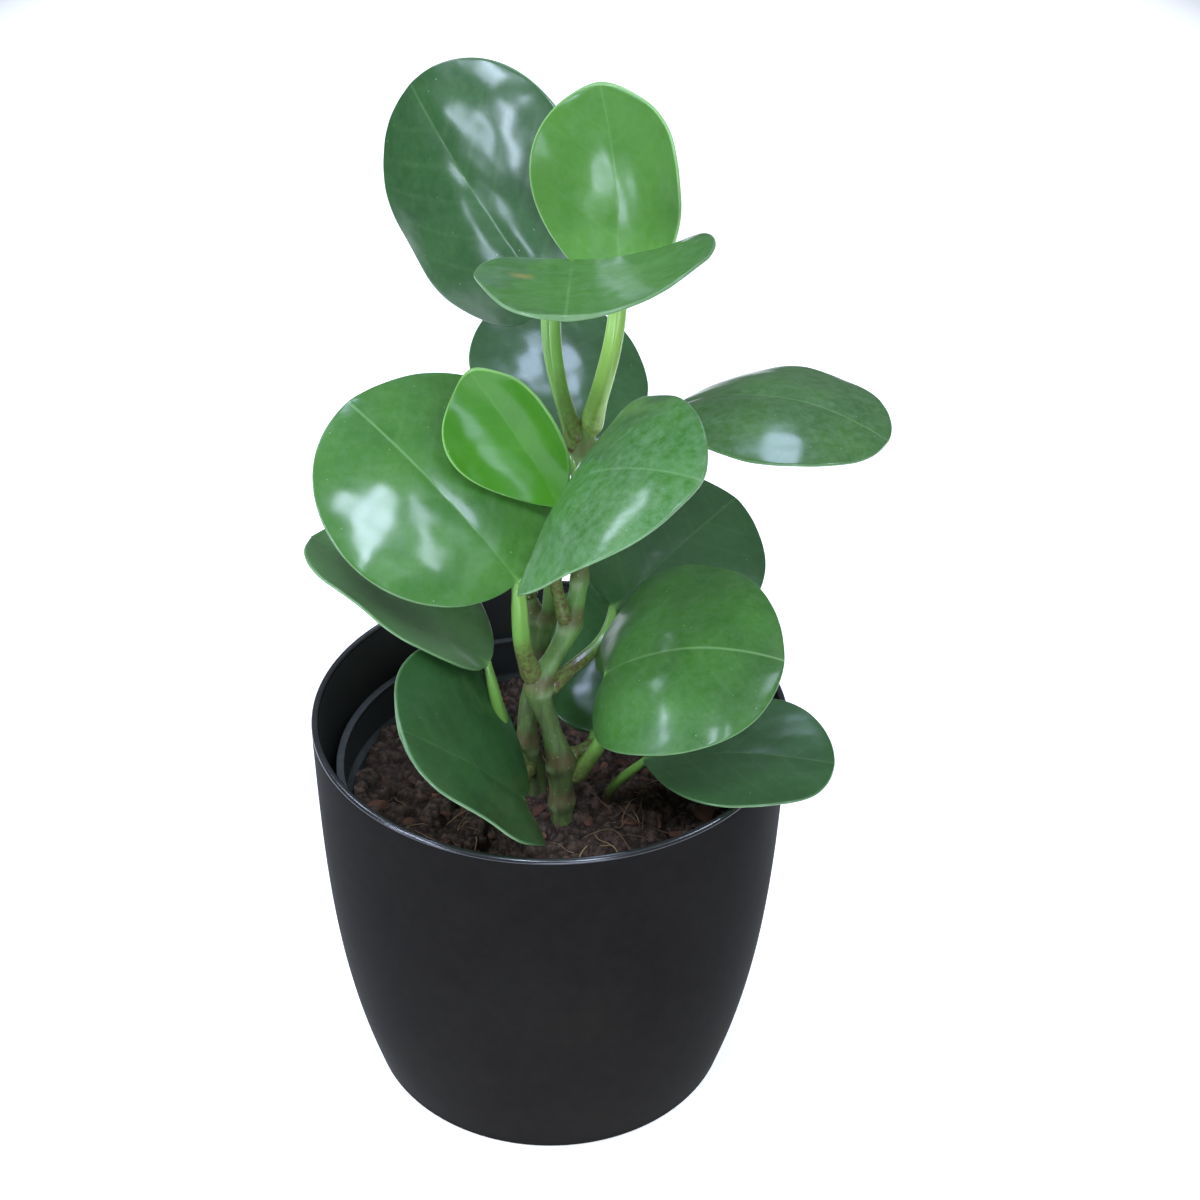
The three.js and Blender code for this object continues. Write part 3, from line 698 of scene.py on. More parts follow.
@dataclass(frozen=True)
class Leaf:
    """One leaf, blade and stalk in one skin: its base, heading, pitch and roll there, and form.

    Heading 0 is +X and 90 is +Y. The midrib bends and the blade cups by the given degrees over
    its length and half width. A browned stalk is brown further up. The crease is the depth and
    the half width of the valley along the midrib.
    """

    name: str
    base: Triple
    heading: float
    pitch: float
    root: Triple
    finish: LeafFinish
    length: float
    width: float
    roll: float = 0
    bend: float = 0
    cup: float = 0
    lobe: float = 0
    wide: float = 1
    skew: float = 0
    tip: float = 0
    stalk: float = 2.1
    flow: float = 0.6
    bow: float = 0
    lobe_skew: float = 0
    browned: float = 0
    crease: tuple[float, float] = (0.3, 3.2)
    wave: float = 0.45
    middle_thickness: float = 1.6
    margin_thickness: float = 0.8
    stalk_tip: float = 1.35
    stalk_drop: float = 0.45
    stalk_depth: float = 1.7
    round_margin: float = 0.5
    veined_margin: float = 9
    columns: int = 64
    rows: int = 84
    stalk_rings: int = 44

    def axes(self) -> Arrays:
        """Give the leaf's own directions at its base.

        Returns:
            The directions along the midrib, to the left half and off the face.
        """
        heading, pitch, roll = (math.radians(a) for a in (self.heading, self.pitch, self.roll))
        along = np.array([
            math.cos(pitch) * math.cos(heading),
            math.cos(pitch) * math.sin(heading),
            math.sin(pitch),
        ])
        level = np.array([-math.sin(heading), math.cos(heading), 0.0])
        face = np.cross(along, level)
        left = level * math.cos(roll) + face * math.sin(roll)
        return along, left, face * math.cos(roll) - level * math.sin(roll)

    def blade_point(self, x: np.ndarray, y: np.ndarray, lift: np.ndarray) -> np.ndarray:
        """Place points of the blade.

        Args:
            x: Distances along the midrib.
            y: Distances to the left of it.
            lift: Heights off the blade's middle surface.

        Returns:
            The points.
        """
        along, left, up = self.axes()
        run, rise, bent = arc(x, self.length, self.bend)
        across, climb, cupped = arc(y, self.width / 2, self.cup)
        face = np.multiply.outer(np.cos(bent), up) - np.multiply.outer(np.sin(bent), along)
        normal = np.cos(cupped)[..., None] * face - np.multiply.outer(np.sin(cupped), left)
        moves = ((run, along), (rise, up), (across, left))
        middle = sum((np.multiply.outer(way, axis) for way, axis in moves), np.array(self.base))
        return middle + climb[..., None] * face + lift[..., None] * normal

    def margin(self, part: np.ndarray, side: np.ndarray) -> Arrays:
        """Give the margin at parts of the leaf's length.

        Args:
            part: Shares of the length, from 0 at the base to 1 at the tip.
            side: 1 for the left half and -1 for the right half.

        Returns:
            The midrib's distance, and the margin's distance along and beside the midrib.
        """
        point = self.length * self.tip * hump(1 - part, 0.09)
        reach = self.length * (1 - np.cos(np.pi * part)) / 2
        lobe = self.length * self.lobe * (1 + self.lobe_skew * side)
        return (
            reach * (1 + self.tip),
            reach - lobe * np.sin(np.pi * part) * (1 - part) ** 2 * 3 + point,
            self.width / 2 * (1 + self.skew * side) * np.sin(np.pi * part ** self.wide),
        )

    def places_round(self) -> tuple[np.ndarray, np.ndarray]:
        """Spread a ring's places over both faces, closer at the midrib and at the margins.

        Returns:
            Each place across, from 1 at the left margin to -1 at the right, and whether it is
            on the upper face.
        """
        half = np.arange(self.columns // 2 + 1) / (self.columns // 2)
        spread = half * half * (3 - 2 * half)
        top = np.concatenate([spread[::-1], -spread[1:]])
        v = np.concatenate([top, top[-2:0:-1]])[None, :]
        return v, np.arange(v.shape[1]) < len(top)

    def vein_phase(self, x: np.ndarray, y: np.ndarray) -> np.ndarray:
        """Count the side veins up to each point: a vein runs where the count is whole.

        Args:
            x: Distances along the midrib.
            y: Distances to the left of it.

        Returns:
            The counts. The veins leave the midrib by turns and bend towards the tip.
        """
        beside = np.abs(y)
        start = x - beside * 0.62 - beside * beside * 0.011
        return start / (self.length * 0.17) + np.where(y > 0, 0.0, 0.35) + 0.4

    def waves(self, x: np.ndarray, y: np.ndarray, v: np.ndarray) -> np.ndarray:
        """Wave the margins and swell the blade softly.

        Args:
            x: Distances along the midrib.
            y: Distances to the left of it.
            v: Places across the leaf, from 1 at the left to -1 at the right.

        Returns:
            The lift of the blade's middle surface.
        """
        phase = math.fmod(self.heading * 0.37 + self.pitch * 0.11 + self.length, math.tau)
        side = np.where(y > 0, 0.0, 1.9)
        edge = self.wave * v * v * np.sin(math.tau * x / 31 + phase + side)
        swell = 0.2 * np.sin(x * 0.19 + y * 0.11 + phase) * np.sin(y * 0.23 - x * 0.07)
        small = 0.04 * np.sin(x * 0.52 - y * 0.4 + phase) * np.sin(y * 0.6 + x * 0.2)
        return edge + swell + small

    def blade_rings(self) -> Arrays:
        """Make the blade's rings, which grow out of the stalk's round section at the base.

        Returns:
            The rings, and the "leaf" and "growth" attributes of their points.
        """
        steps = np.arange(self.rows) / self.rows
        parts = np.append(steps ** 1.3, (0.993, 0.9985))[:, None]
        v, upper = self.places_round()
        middle, margin_x, margin_y = self.margin(parts, np.sign(v))
        x = middle * (1 - v * v) + margin_x * v * v
        y = margin_y * v
        phase = self.vein_phase(x, y)
        edge = (1 - np.abs(v)) * margin_y
        valley = smooth(0.2, 0.5, np.abs(phase % 1 - 0.5)) * smooth(1.5, 8.0, edge)

        # The section is thickest at the midrib and round at the margin
        end = (self.length * (1 + self.tip) - middle) * (1 - v * v)
        inward = np.minimum(edge, end)
        near_edge = np.minimum(inward, self.round_margin) / self.round_margin
        rounding = np.sqrt(np.maximum(1 - (1 - near_edge) ** 2, 0))
        thick = self.middle_thickness + (self.margin_thickness - self.middle_thickness) * v * v
        half = thick / 2 * rounding
        left_over = 1 - parts
        groove = 0.07 * left_over ** 0.5 * hump(y, 0.9)
        ridge = 1.35 * left_over ** 2.4 * hump(y, 0.6 + 0.75 * left_over)
        depth, reach = self.crease
        crease = depth * ((1 - np.exp(-parts / 0.12)) * left_over ** 0.4) * hump(y, reach)
        lift = self.waves(x, y, v)
        top = lift + half - groove - crease - 0.015 * valley
        under = lift - half - ridge - crease - 0.09 * valley
        rings = self.blade_point(x, y, np.where(upper, top, under))

        # Near the base the section passes into the stalk's
        _, left, up = self.axes()
        heart = self.blade_point(middle, np.zeros_like(middle), np.full_like(middle, -self.stalk_drop))
        across, height = self.stalk_section(v, upper, np.full_like(parts, self.stalk_tip))
        stalk = heart + across[..., None] * left + height[..., None] * up
        share = np.where(parts < 0.5, smooth(0.3, 5.0, margin_y), 1)[..., None]
        rings = stalk * (1 - share) + rings * share

        even = np.ones(rings.shape[:2])
        leaf = np.stack([y, np.minimum(inward, self.veined_margin), phase], axis=-1)
        joint = 0.05 * (1 - share[..., 0]) * even
        return rings, leaf, np.stack([upper * even, joint, parts * even], axis=-1)

    @staticmethod
    def stalk_section(
        v: np.ndarray, upper: np.ndarray, radius: np.ndarray
    ) -> tuple[np.ndarray, np.ndarray]:
        """Give the stalk's section: round below, with a shallow channel above.

        Args:
            v: Places across the leaf, from 1 at the left to -1 at the right.
            upper: Whether each place is on the upper face.
            radius: The stalk's radius.

        Returns:
            Distances to the left and up.
        """
        round_side = np.sqrt(np.maximum(1 - v * v, 0))
        height = np.where(upper, 0.92 * round_side - 0.1 * hump(v, 0.4), -round_side)
        return v * radius, height * radius

    def stalk_curve(self, share: np.ndarray) -> np.ndarray:
        """Place points of the stalk's axis.

        Args:
            share: Shares of the axis, from 0 in the stem to 1 under the blade's base.

        Returns:
            The points.
        """
        along, _, up_face = self.axes()
        up = np.array([0.0, 0.0, 1.0])
        root = np.array(self.root)
        base = np.array(self.base)
        reach = np.linalg.norm(base - root)
        rising = unit(base - root + up * reach * 0.6)
        end = base - up_face * self.stalk_drop
        arriving = unit(up + (along - up) * self.flow)
        bow = np.array([self.bow, 0, 0])
        controls = [root, root + rising * reach * 0.35 + bow, end - arriving * reach * 0.4 + bow, end]
        t = share[:, None]
        weights = [(1 - t) ** 3, 3 * (1 - t) ** 2 * t, 3 * (1 - t) * t * t, t ** 3]
        return sum(weight * control for weight, control in zip(weights, controls))

    def stalk_rings_from(self, start: float, skin: float) -> Arrays:
        """Make the stalk's rings.

        Args:
            start: The share of the axis where the stalk starts, inside the stem.
            skin: The share of the axis where it comes out of the stem.

        Returns:
            The rings, and the "leaf" and "growth" attributes of their points.
        """
        shares = np.linspace(start, 1, self.stalk_rings, endpoint=False)
        tangents = unit(self.stalk_curve(shares + 1e-3) - self.stalk_curve(shares - 1e-3))
        _, left, up = self.axes()
        side = left
        lefts = []
        for tangent in tangents[::-1]:
            side = unit(side - tangent * (side @ tangent))
            lefts.append(side)
        lefts = np.array(lefts[::-1])
        turn = smooth(0.78, 1.0, shares)[:, None]
        ups = unit(np.cross(tangents, lefts) * (1 - turn) + up * turn)
        lefts = unit(lefts * (1 - turn) + left * turn)

        v, upper = self.places_round()
        taper = self.stalk + (self.stalk_tip - self.stalk) * shares ** 3
        swell = 0.55 * hump(shares - skin, 0.12)
        hidden = smooth(start - 0.02, max(skin, start + 0.01), shares) if skin else 1.0
        radius = ((taper + swell) * (0.3 + 0.7 * hidden))[:, None]
        across, height = self.stalk_section(v, upper, radius)
        centres = self.stalk_curve(shares)[:, None, :]
        rings = centres + across[..., None] * lefts[:, None, :] + height[..., None] * ups[:, None, :]
        even = np.ones(rings.shape[:2])
        leaf = np.stack([across * even, self.veined_margin * even, 0.5 * even], axis=-1)
        down = np.minimum((1 - shares) / (1 - start) * (1 + self.browned), 1)[:, None] * even
        return rings, leaf, np.stack([upper * even, 0.05 + 0.95 * down, 0 * even], axis=-1)

    def build(self, stems: list["Stem"], finish: bpy.types.Material) -> bpy.types.Object:
        """Make the leaf as one skin and put it in its CAD node's place.

        Args:
            stems: The stems, one of which the stalk grows from.
            finish: The leaf's material.

        Returns:
            The leaf's object.
        """
        shares = np.linspace(0, 0.6, 121)
        axis = self.stalk_curve(shares)
        depth = np.min([stem.clearance(axis) for stem in stems], axis=0)
        inside = np.nonzero(depth < 0)[0]
        skin = inside[-1] if len(inside) else 0
        deep = np.nonzero(depth[:skin + 1] < -self.stalk_depth)[0]
        start = deep[-1] if len(deep) else np.argmin(depth[:skin + 1])
        stalk = self.stalk_rings_from(shares[start], shares[skin])
        rings, *values = (np.concatenate(both) for both in zip(stalk, self.blade_rings()))
        points, faces = skin_rings(rings)
        attributes = {}
        for key, value in zip(("leaf", "growth"), values):
            rows = value.reshape(-1, 3)
            attributes[key] = np.concatenate([rows, rows[:1], rows[-1:]])
        piece = shown(f"{self.name}_skin", points, faces, finish, attributes)
        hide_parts(self.name)
        return piece


@dataclass(frozen=True)
class Stem:
    """A fleshy stem through its stations, each a point on its axis and the radius there."""

    name: str
    routes: tuple[tuple[Station, ...], ...]
    scars: tuple[float, ...]
    finish: FleshyStem = FleshyStem()
    steps: int = 10
    sides: int = 40
    voxel: float = 0.34
    tip: float = 2
    node_swelling: float = 0.6
    node_reach: float = 2
    old_below: float = 118
    young_above: float = 162

    def curve(self, stations: tuple[Station, ...]) -> np.ndarray:
        """Round a route into a smooth line.

        Args:
            stations: The route's points and radii.

        Returns:
            Points and radii, one row each.
        """
        knots = np.array(stations, float)
        spans = np.sqrt(np.linalg.norm(np.diff(knots[:, :3], axis=0), axis=1))
        knots = np.vstack([2 * knots[0] - knots[1], knots, 2 * knots[-1] - knots[-2]])
        times = np.concatenate([[0], np.cumsum(np.concatenate([spans[:1], spans, spans[-1:]]))])
        rows = []
        for i in range(1, len(knots) - 2):
            t0, t1, t2, t3 = times[i - 1:i + 3]
            for t in np.linspace(t1, t2, self.steps, endpoint=False):
                a1 = blend(knots[i - 1], knots[i], t0, t1, t)
                a2 = blend(knots[i], knots[i + 1], t1, t2, t)
                a3 = blend(knots[i + 1], knots[i + 2], t2, t3, t)
                b1 = blend(a1, a2, t0, t2, t)
                b2 = blend(a2, a3, t1, t3, t)
                rows.append(blend(b1, b2, t1, t2, t))
        rows.append(knots[-2])
        return np.array(rows)

    def clearance(self, points: np.ndarray) -> np.ndarray:
        """Measure how far points are from the stem's skin.

        Args:
            points: The points, one row each.

        Returns:
            Each point's distance, below zero inside the stem.
        """
        best = np.full(len(points), np.inf)
        for line in map(self.curve, self.routes):
            away = np.linalg.norm(points[:, None, :] - line[None, :, :3], axis=2) - line[:, 3]
            best = np.minimum(best, away.min(axis=1))
        return best

    def route_rings(self, route: tuple[Station, ...]) -> np.ndarray:
        """Make a route's rings, with a swelling at each leaf scar and a rounded tip.

        Args:
            route: The route's stations.

        Returns:
            The rings.
        """
        line = self.curve(route)
        tangents = unit(np.gradient(line[:, :3], axis=0))
        turns = np.linspace(0, math.pi / 2, 7)[1:, None]
        ahead = line[-1, :3] + tangents[-1] * self.tip * np.sin(turns)
        cap = np.hstack([ahead, line[-1, 3] * np.maximum(np.cos(turns), 0.05)])
        line = np.vstack([line, cap])
        tangents = np.vstack([tangents, np.repeat(tangents[-1:], len(cap), axis=0)])
        side = np.array([1.0, 0.0, 0.0])
        angles = np.arange(self.sides) / self.sides * math.tau
        rings = []
        for row, tangent in zip(line, tangents):
            side = unit(side - tangent * (side @ tangent))
            across = np.cross(tangent, side)
            bulge = sum(hump(row[2] - height, self.node_reach) for height in self.scars)
            lumps = 0.03 * np.sin(angles * 3 + row[2] * 0.21) + 0.02 * np.sin(angles * 5 - row[2] * 0.5)
            reach = ((row[3] + self.node_swelling * bulge) * (1 + lumps))[:, None]
            outward = np.cos(angles)[:, None] * side + np.sin(angles)[:, None] * across
            rings.append(row[:3] + reach * outward)
        return np.array(rings)

    def build(self) -> bpy.types.Object:
        """Make the stem as one grown-together skin and put it in its CAD node's place.

        Returns:
            The stem's object.
        """
        points, faces = join([skin_rings(self.route_rings(route)) for route in self.routes])
        piece = shown(f"{self.name}_skin", points, faces, self.finish.build())
        grown = piece.modifiers.new("grown_together", "REMESH")
        grown.mode = "VOXEL"
        grown.voxel_size = self.voxel * MM
        relaxed = piece.modifiers.new("relaxed", "SMOOTH")
        relaxed.iterations = 6
        relaxed.factor = 0.5
        apply_modifiers(piece)
        self.mark(piece.data)
        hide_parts(self.name)
        return piece

    def mark(self, mesh: bpy.types.Mesh) -> None:
        """Store where the nodes, the leaf scars and the old skin are.

        Args:
            mesh: The stem's mesh.
        """
        x, _, z = points_of(mesh).T
        nodal = np.max([hump(z - height - 2.5, 3.2) for height in self.scars], axis=0)
        scar = np.max([
            hump(z - height + 0.8, 1.1) * smooth(0.1, 0.9, np.sin(x * 0.5 + height))
            for height in self.scars
        ], axis=0)
        age = 1 - smooth(self.old_below, self.young_above, z) * 0.85
        store(mesh, "growth", np.stack([nodal, scar * 0.7, age], axis=1))


def arc_points(
    x: float, z: float, radius: float, first: float, last: float, count: int
) -> Profile:
    """Give points of a half section on an arc.

    Args:
        x: The arc's middle, from the axis.
        z: The arc's middle, upward.
        radius: The arc's radius.
        first: The first point's angle in degrees, where 0 is outward and 90 is up.
        last: The last point's angle.
        count: The number of points.

    Returns:
        Radii and heights.
    """
    angles = np.radians(np.linspace(first, last, count))
    return [(x + radius * math.cos(a), z + radius * math.sin(a)) for a in angles]


def turn_profile(profile: Profile, sides: int) -> tuple[np.ndarray, Faces]:
    """Turn a half section about the upright axis.

    Args:
        profile: Radii and heights, with both ends on the axis.
        sides: Number of facets round.

    Returns:
        The points and faces of a closed body.
    """
    angles = np.arange(sides) / sides * math.tau
    points, faces = skin_rings(np.array([
        np.stack([r * np.cos(angles), r * np.sin(angles), np.full(sides, z)], axis=1)
        for r, z in profile[1:-1]
    ]))
    points[-2] = (0, 0, profile[0][1])
    points[-1] = (0, 0, profile[-1][1])
    return points, faces


@dataclass(frozen=True)
class Cachepot:
    """The outer pot: one thin-walled moulding with a rounded lip, drawn in at the foot."""

    height: float = 115.5
    rim_radius: float = 65
    base_radius: float = 51.5
    shoulder_radii: tuple[float, float] = (64, 63.75)
    wall: float = 2
    floor: float = 2.6
    foot_round: float = 1.6
    inner_round: float = 2
    foot_ring_inset: float = 6
    foot_ring_width: float = 2.5
    foot_ring_depth: float = 0.8
    foot_ring_bevel: float = 0.4
    sides: int = 256
    rows: int = 56

    def outer_radius(self, height: float) -> float:
        """Give the outside's radius.

        Args:
            height: Where on the pot.

        Returns:
            The radius at the height.
        """
        up = height / self.height
        down = 1 - up
        return (
            self.rim_radius * up ** 3
            + 3 * self.shoulder_radii[0] * up * up * down
            + 3 * self.shoulder_radii[1] * up * down * down
            + self.base_radius * down ** 3
        )

    def profile(self) -> Profile:
        """Give the half section.

        Returns:
            Radii and heights, from the middle underneath round to the middle inside.
        """
        lip = self.wall / 2
        lip_height = self.height - lip
        foot = self.outer_radius(self.foot_round)
        bevel = self.foot_ring_bevel
        ring_outer = foot - self.foot_ring_inset
        ring_inner = ring_outer - self.foot_ring_width
        inner_bottom = self.floor + self.inner_round
        inner_foot = self.outer_radius(inner_bottom) - self.wall - self.inner_round
        underneath = (0.0, *np.linspace(4, ring_inner - bevel, 8))
        outside = np.linspace(self.foot_round, lip_height, self.rows)[1:]
        inside = np.linspace(lip_height, inner_bottom, self.rows)
        bottom = (*np.linspace(inner_foot, 3, 8)[1:], 0.0)
        return [
            *((r, self.foot_ring_depth) for r in underneath),
            (ring_inner, 0.15),
            (ring_inner + bevel, 0),
            (ring_outer - bevel, 0),
            (ring_outer, 0.15),
            (ring_outer + bevel, 0.5),
            *arc_points(foot - self.foot_round, self.foot_round, self.foot_round, -90, 0, 9),
            *((self.outer_radius(z), z) for z in outside),
            *arc_points(self.outer_radius(lip_height) - lip, lip_height, lip, 0, 180, 13)[1:-1],
            *((self.outer_radius(z) - self.wall, z) for z in inside),
            *arc_points(inner_foot, inner_bottom, self.inner_round, 0, -90, 6)[1:],
            *((r, self.floor) for r in bottom),
        ]

    def build(self) -> bpy.types.Object:
        """Turn the pot and put it in its CAD node's place.

        Returns:
            The pot's object.
        """
        points, faces = turn_profile(self.profile(), self.sides)
        piece = shown("cachepot_shell", points, faces, BLACK_SATIN.build())
        piece.data.materials.append(RUBBED_LIP.build())
        piece.data.materials.append(INSIDE_DUST_AND_PAINTED_LIGHT.build())
        # The rim gets the rubbed lip finish, and the faces that look inward get the lighter inside
        # copy, which is painted light standing in for light reaching into the pot
        for face in piece.data.polygons:
            outward = face.normal.x * face.center.x + face.normal.y * face.center.y
            if face.center.z > (self.height - self.wall / 2) * MM:
                face.material_index = 1
            elif outward < 0 and face.center.z > self.floor * MM:
                face.material_index = 2
        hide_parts("cachepot")
        return piece


@dataclass(frozen=True)
class NurseryPot:
    """The inner pot that the plant grew in: thin walls, a collar, a flat rim and drain holes."""

    level: float = 2.9
    height: float = 96.6
    rim_radius: float = 59
    collar_height: float = 13
    body_top_radius: float = 56.6
    base_radius: float = 43
    wall: float = 1.3
    lip_width: float = 2.2
    lip_depth: float = 1.6
    collar_inset: float = 0.6
    shoulder: float = 1
    floor: float = 1.8
    hole_radius: float = 4
    hole_ring_radius: float = 30
    hole_count: int = 6
    hole_sides: int = 36
    corner: float = 0.35
    sides: int = 224

    def profile(self) -> Profile:
        """Give the half section.

        Returns:
            Radii and heights, from the middle underneath round to the middle inside.
        """
        collar_bottom = self.height - self.collar_height
        rim_bottom = self.height - self.lip_depth
        collar = self.rim_radius - self.collar_inset
        ring = [
            (0.0, 0.0),
            (self.base_radius, 0),
            (self.body_top_radius, collar_bottom),
            (collar, collar_bottom + self.shoulder),
            (collar, rim_bottom),
            (self.rim_radius, rim_bottom),
            (self.rim_radius, self.height),
            (self.rim_radius - self.lip_width, self.height),
            (collar - self.wall, rim_bottom),
            (collar - self.wall, collar_bottom + self.shoulder),
            (self.body_top_radius - self.wall, collar_bottom),
            (self.base_radius - self.wall, self.floor),
            (0.0, self.floor),
        ]
        points = [(r, 0.0) for r in (0.0, *np.linspace(10, self.base_radius - 3, 5))]
        for before, here, after in zip(ring, ring[1:], ring[2:]):
            points += self.soft_corner(before, here, after)
        return points + [(r, self.floor) for r in (*np.linspace(self.base_radius - 5, 10, 5), 0.0)]

    def soft_corner(
        self, before: tuple[float, float], here: tuple[float, float], after: tuple[float, float]
    ) -> Profile:
        """Round one corner of the section.

        Args:
            before: The corner before it.
            here: The corner.
            after: The corner after it.

        Returns:
            Points of the rounded corner.
        """
        corner = np.array(here, float)
        sides = [np.array(end, float) - corner for end in (before, after)]
        cuts = [min(self.corner, np.linalg.norm(side) * 0.45) for side in sides]
        first, last = (corner + unit(side) * cut for side, cut in zip(sides, cuts))
        return [
            tuple(first * (1 - t) ** 2 + corner * 2 * t * (1 - t) + last * t * t)
            for t in np.linspace(0, 1, 4)
        ]

    def build(self) -> bpy.types.Object:
        """Turn the pot, drill its drain holes and put it in its CAD node's place.

        Returns:
            The pot's object.
        """
        points, faces = turn_profile(self.profile(), self.sides)
        points[:, 2] += self.level
        piece = shown("nursery_pot_shell", points, faces, DARK_GREY.build())
        drill = bmesh.new()
        reach = self.hole_ring_radius
        turns = np.arange(self.hole_count) / self.hole_count * math.tau
        ring = [(math.cos(turn) * reach, math.sin(turn) * reach) for turn in turns]
        for x, y in [(0.0, 0.0), *ring]:
            bmesh.ops.create_cone(
                drill, cap_ends=True, segments=self.hole_sides, depth=self.floor * 3 * MM,
                radius1=self.hole_radius * MM, radius2=self.hole_radius * MM,
                matrix=Matrix.Translation((x * MM, y * MM, (self.level + self.floor / 2) * MM)),
            )
        tool_mesh = bpy.data.meshes.new("drain_drill")
        drill.to_mesh(tool_mesh)
        drill.free()
        tool = add_object("drain_drill", tool_mesh)
        drilled = piece.modifiers.new("drained", "BOOLEAN")
        drilled.operation = "DIFFERENCE"
        drilled.object = tool
        apply_modifiers(piece)
        bpy.data.objects.remove(tool)
        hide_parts("nursery_pot")
        return piece


def toned(tones: Any) -> dict[str, np.ndarray]:
    """Give each point its tone, as the attribute that colours litter."""
    return {"growth": np.repeat(np.array(tones)[:, None], 3, axis=1)}


@dataclass
class SoilBed:
    """Peaty potting soil: crumbs heaped on a low mound, with bark chips and coir fibres.

    Clods and crumbs each have a smallest and a largest radius, and how far they stand out. A tuft
    of fibres is a place and how far it spreads.
    """

    level: float = SOIL_LEVEL
    bottom: float = 5.0
    bottom_radius: float = 41.4
    edge_radius: float = 54.7
    mound_height: float = 2
    mound_spread: float = 30
    mound_centre: tuple[float, float] = (0, -10)
    cells: int = 256
    wall_rings: int = 8
    clods: int = 1000
    clod: Triple = (1.3, 5.0, 1.05)
    crumbs: int = 7000
    crumb: Triple = (0.5, 1.4, 1.1)
    chips: int = 80
    fibres: int = 60
    fibre_steps: int = 14
    tufts: tuple[Triple, ...] = ((-4, 6, 7), (14, -30, 9), (-24, -22, 10), (24, -18, 8))
    start_depth: float = 0.6
    hollow_shade_rounds: int = 14
    grit: float = 0.34
    highest: float = 5.5
    chip_inset: float = 6
    fibre_inset: float = 9
    finder: KDTree | None = None
    heights: np.ndarray | None = None

    def disc(self) -> np.ndarray:
        """Spread a square grid evenly over a disc.

        Returns:
            The disc's plane points, row after row of the grid.
        """
        side = np.linspace(-1, 1, self.cells + 1)
        a, b = np.meshgrid(side, side, indexing="ij")
        wide = np.abs(a) > np.abs(b)
        radius = np.where(wide, a, b)
        with np.errstate(divide="ignore", invalid="ignore"):
            angle = np.where(wide, math.pi / 4 * b / a, math.pi / 2 - math.pi / 4 * a / b)
        angle = np.nan_to_num(angle)
        plane = np.stack([radius * np.cos(angle), radius * np.sin(angle)], axis=-1)
        return plane.reshape(-1, 2) * self.edge_radius

    def mound(self, plane: np.ndarray) -> np.ndarray:
        """Give the height of the mound's even surface.

        Args:
            plane: Plane points, one row each.

        Returns:
            Each point's height.
        """
        x, y = plane.T
        away = np.hypot(x - self.mound_centre[0], y - self.mound_centre[1])
        lumps = (
            0.45 * np.sin(x * 0.31 + y * 0.05 + 1.3)
            + 0.30 * np.sin(x * 0.53 - y * 0.44 + 2.1)
            + 0.25 * np.sin(x * 0.12 + y * 0.71 + 0.4)
        )
        edge = smooth(48, self.edge_radius, np.hypot(x, y))
        return self.level + lumps + self.mound_height * hump(away, self.mound_spread) - edge

    def spot(self, draw: np.random.Generator, inset: float) -> tuple[float, float]:
        """Draw a place on the soil.

        Args:
            draw: The source of random numbers.
            inset: The place's least distance from the edge.

        Returns:
            The place.
        """
        away = (self.edge_radius - inset) * math.sqrt(draw.random())
        angle = draw.random() * math.tau
        return away * math.cos(angle), away * math.sin(angle)

    def build(self) -> list[bpy.types.Object]:
        """Make the bed, its chips and its fibres.

        Returns:
            The three objects.
        """
        draw = np.random.default_rng(SEED)
        plane = self.disc()
        self.heights = self.mound(plane) - self.start_depth
        tone = np.full(len(plane), 0.25)
        self.finder = KDTree(len(plane))
        for i, (x, y) in enumerate(plane):
            self.finder.insert((x, y, 0), i)
        self.finder.balance()
        for _ in range(self.clods):
            self.heap(plane, tone, draw, self.clod)
        for _ in range(self.crumbs):
            self.heap(plane, tone, draw, self.crumb)

        # Painted shade: the tone is darkened where the surface lies below its blurred surroundings, in
        # the hollows between the crumbs
        around = self.heights.reshape(self.cells + 1, -1)
        for _ in range(self.hollow_shade_rounds):
            for axis in (0, 1):
                around = (around + np.roll(around, 1, axis) + np.roll(around, -1, axis)) / 3
        tone *= 0.1 + 0.9 * smooth(-0.9, 0.9, self.heights - around.ravel())
        self.heights += self.grit * (draw.random(len(plane)) - 0.5)
        self.heights = np.minimum(self.heights, self.level + self.highest)
        return [self.bed(plane, tone), self.scatter_chips(draw), self.scatter_fibres(draw)]

    def heap(
        self, plane: np.ndarray, tone: np.ndarray, draw: np.random.Generator, sizes: Triple
    ) -> None:
        """Heap one crumb: a cap that stands out where it is the highest.

        Args:
            plane: The surface's plane points.
            tone: Each point's tone, which becomes the crumb's where the crumb stands out.
            draw: The source of random numbers.
            sizes: The smallest and the largest radius, and how far a crumb stands out.
        """
        low, high, rise = sizes
        centre = np.array(self.spot(draw, 0))
        radius = low + (high - low) * draw.random() ** 2.5
        squash = 0.7 + 0.6 * draw.random()
        lean = draw.random() * math.tau
        sink = rise * radius * (0.55 + 0.45 * draw.random())
        shade = draw.random()
        found = np.array([i for _, i, _ in self.finder.find_range((*centre, 0), radius * 1.3)])
        if not len(found):
            return
        offset = plane[found] - centre
        u = offset @ np.array([math.cos(lean), math.sin(lean)])
        w = offset @ np.array([-math.sin(lean), math.cos(lean)])
        reach = np.sqrt((u / squash) ** 2 + (w * squash) ** 2) / radius
        bearing = np.arctan2(w, u)
        reach *= 1 + 0.17 * np.sin(3 * bearing + lean) + 0.12 * np.sin(5 * bearing + 2 * lean)
        covered = reach < 1
        near = found[covered]
        if not len(near):
            return
        ground = float(np.median(self.heights[near]))
        tilt = 0.3 * (draw.random() - 0.5) * u[covered]
        cap = ground - radius * 0.4 + sink * (1 - reach[covered] ** 2) ** 0.55 + tilt
        higher = cap > self.heights[near]
        self.heights[near[higher]] = cap[higher]
        tone[near[higher]] = shade

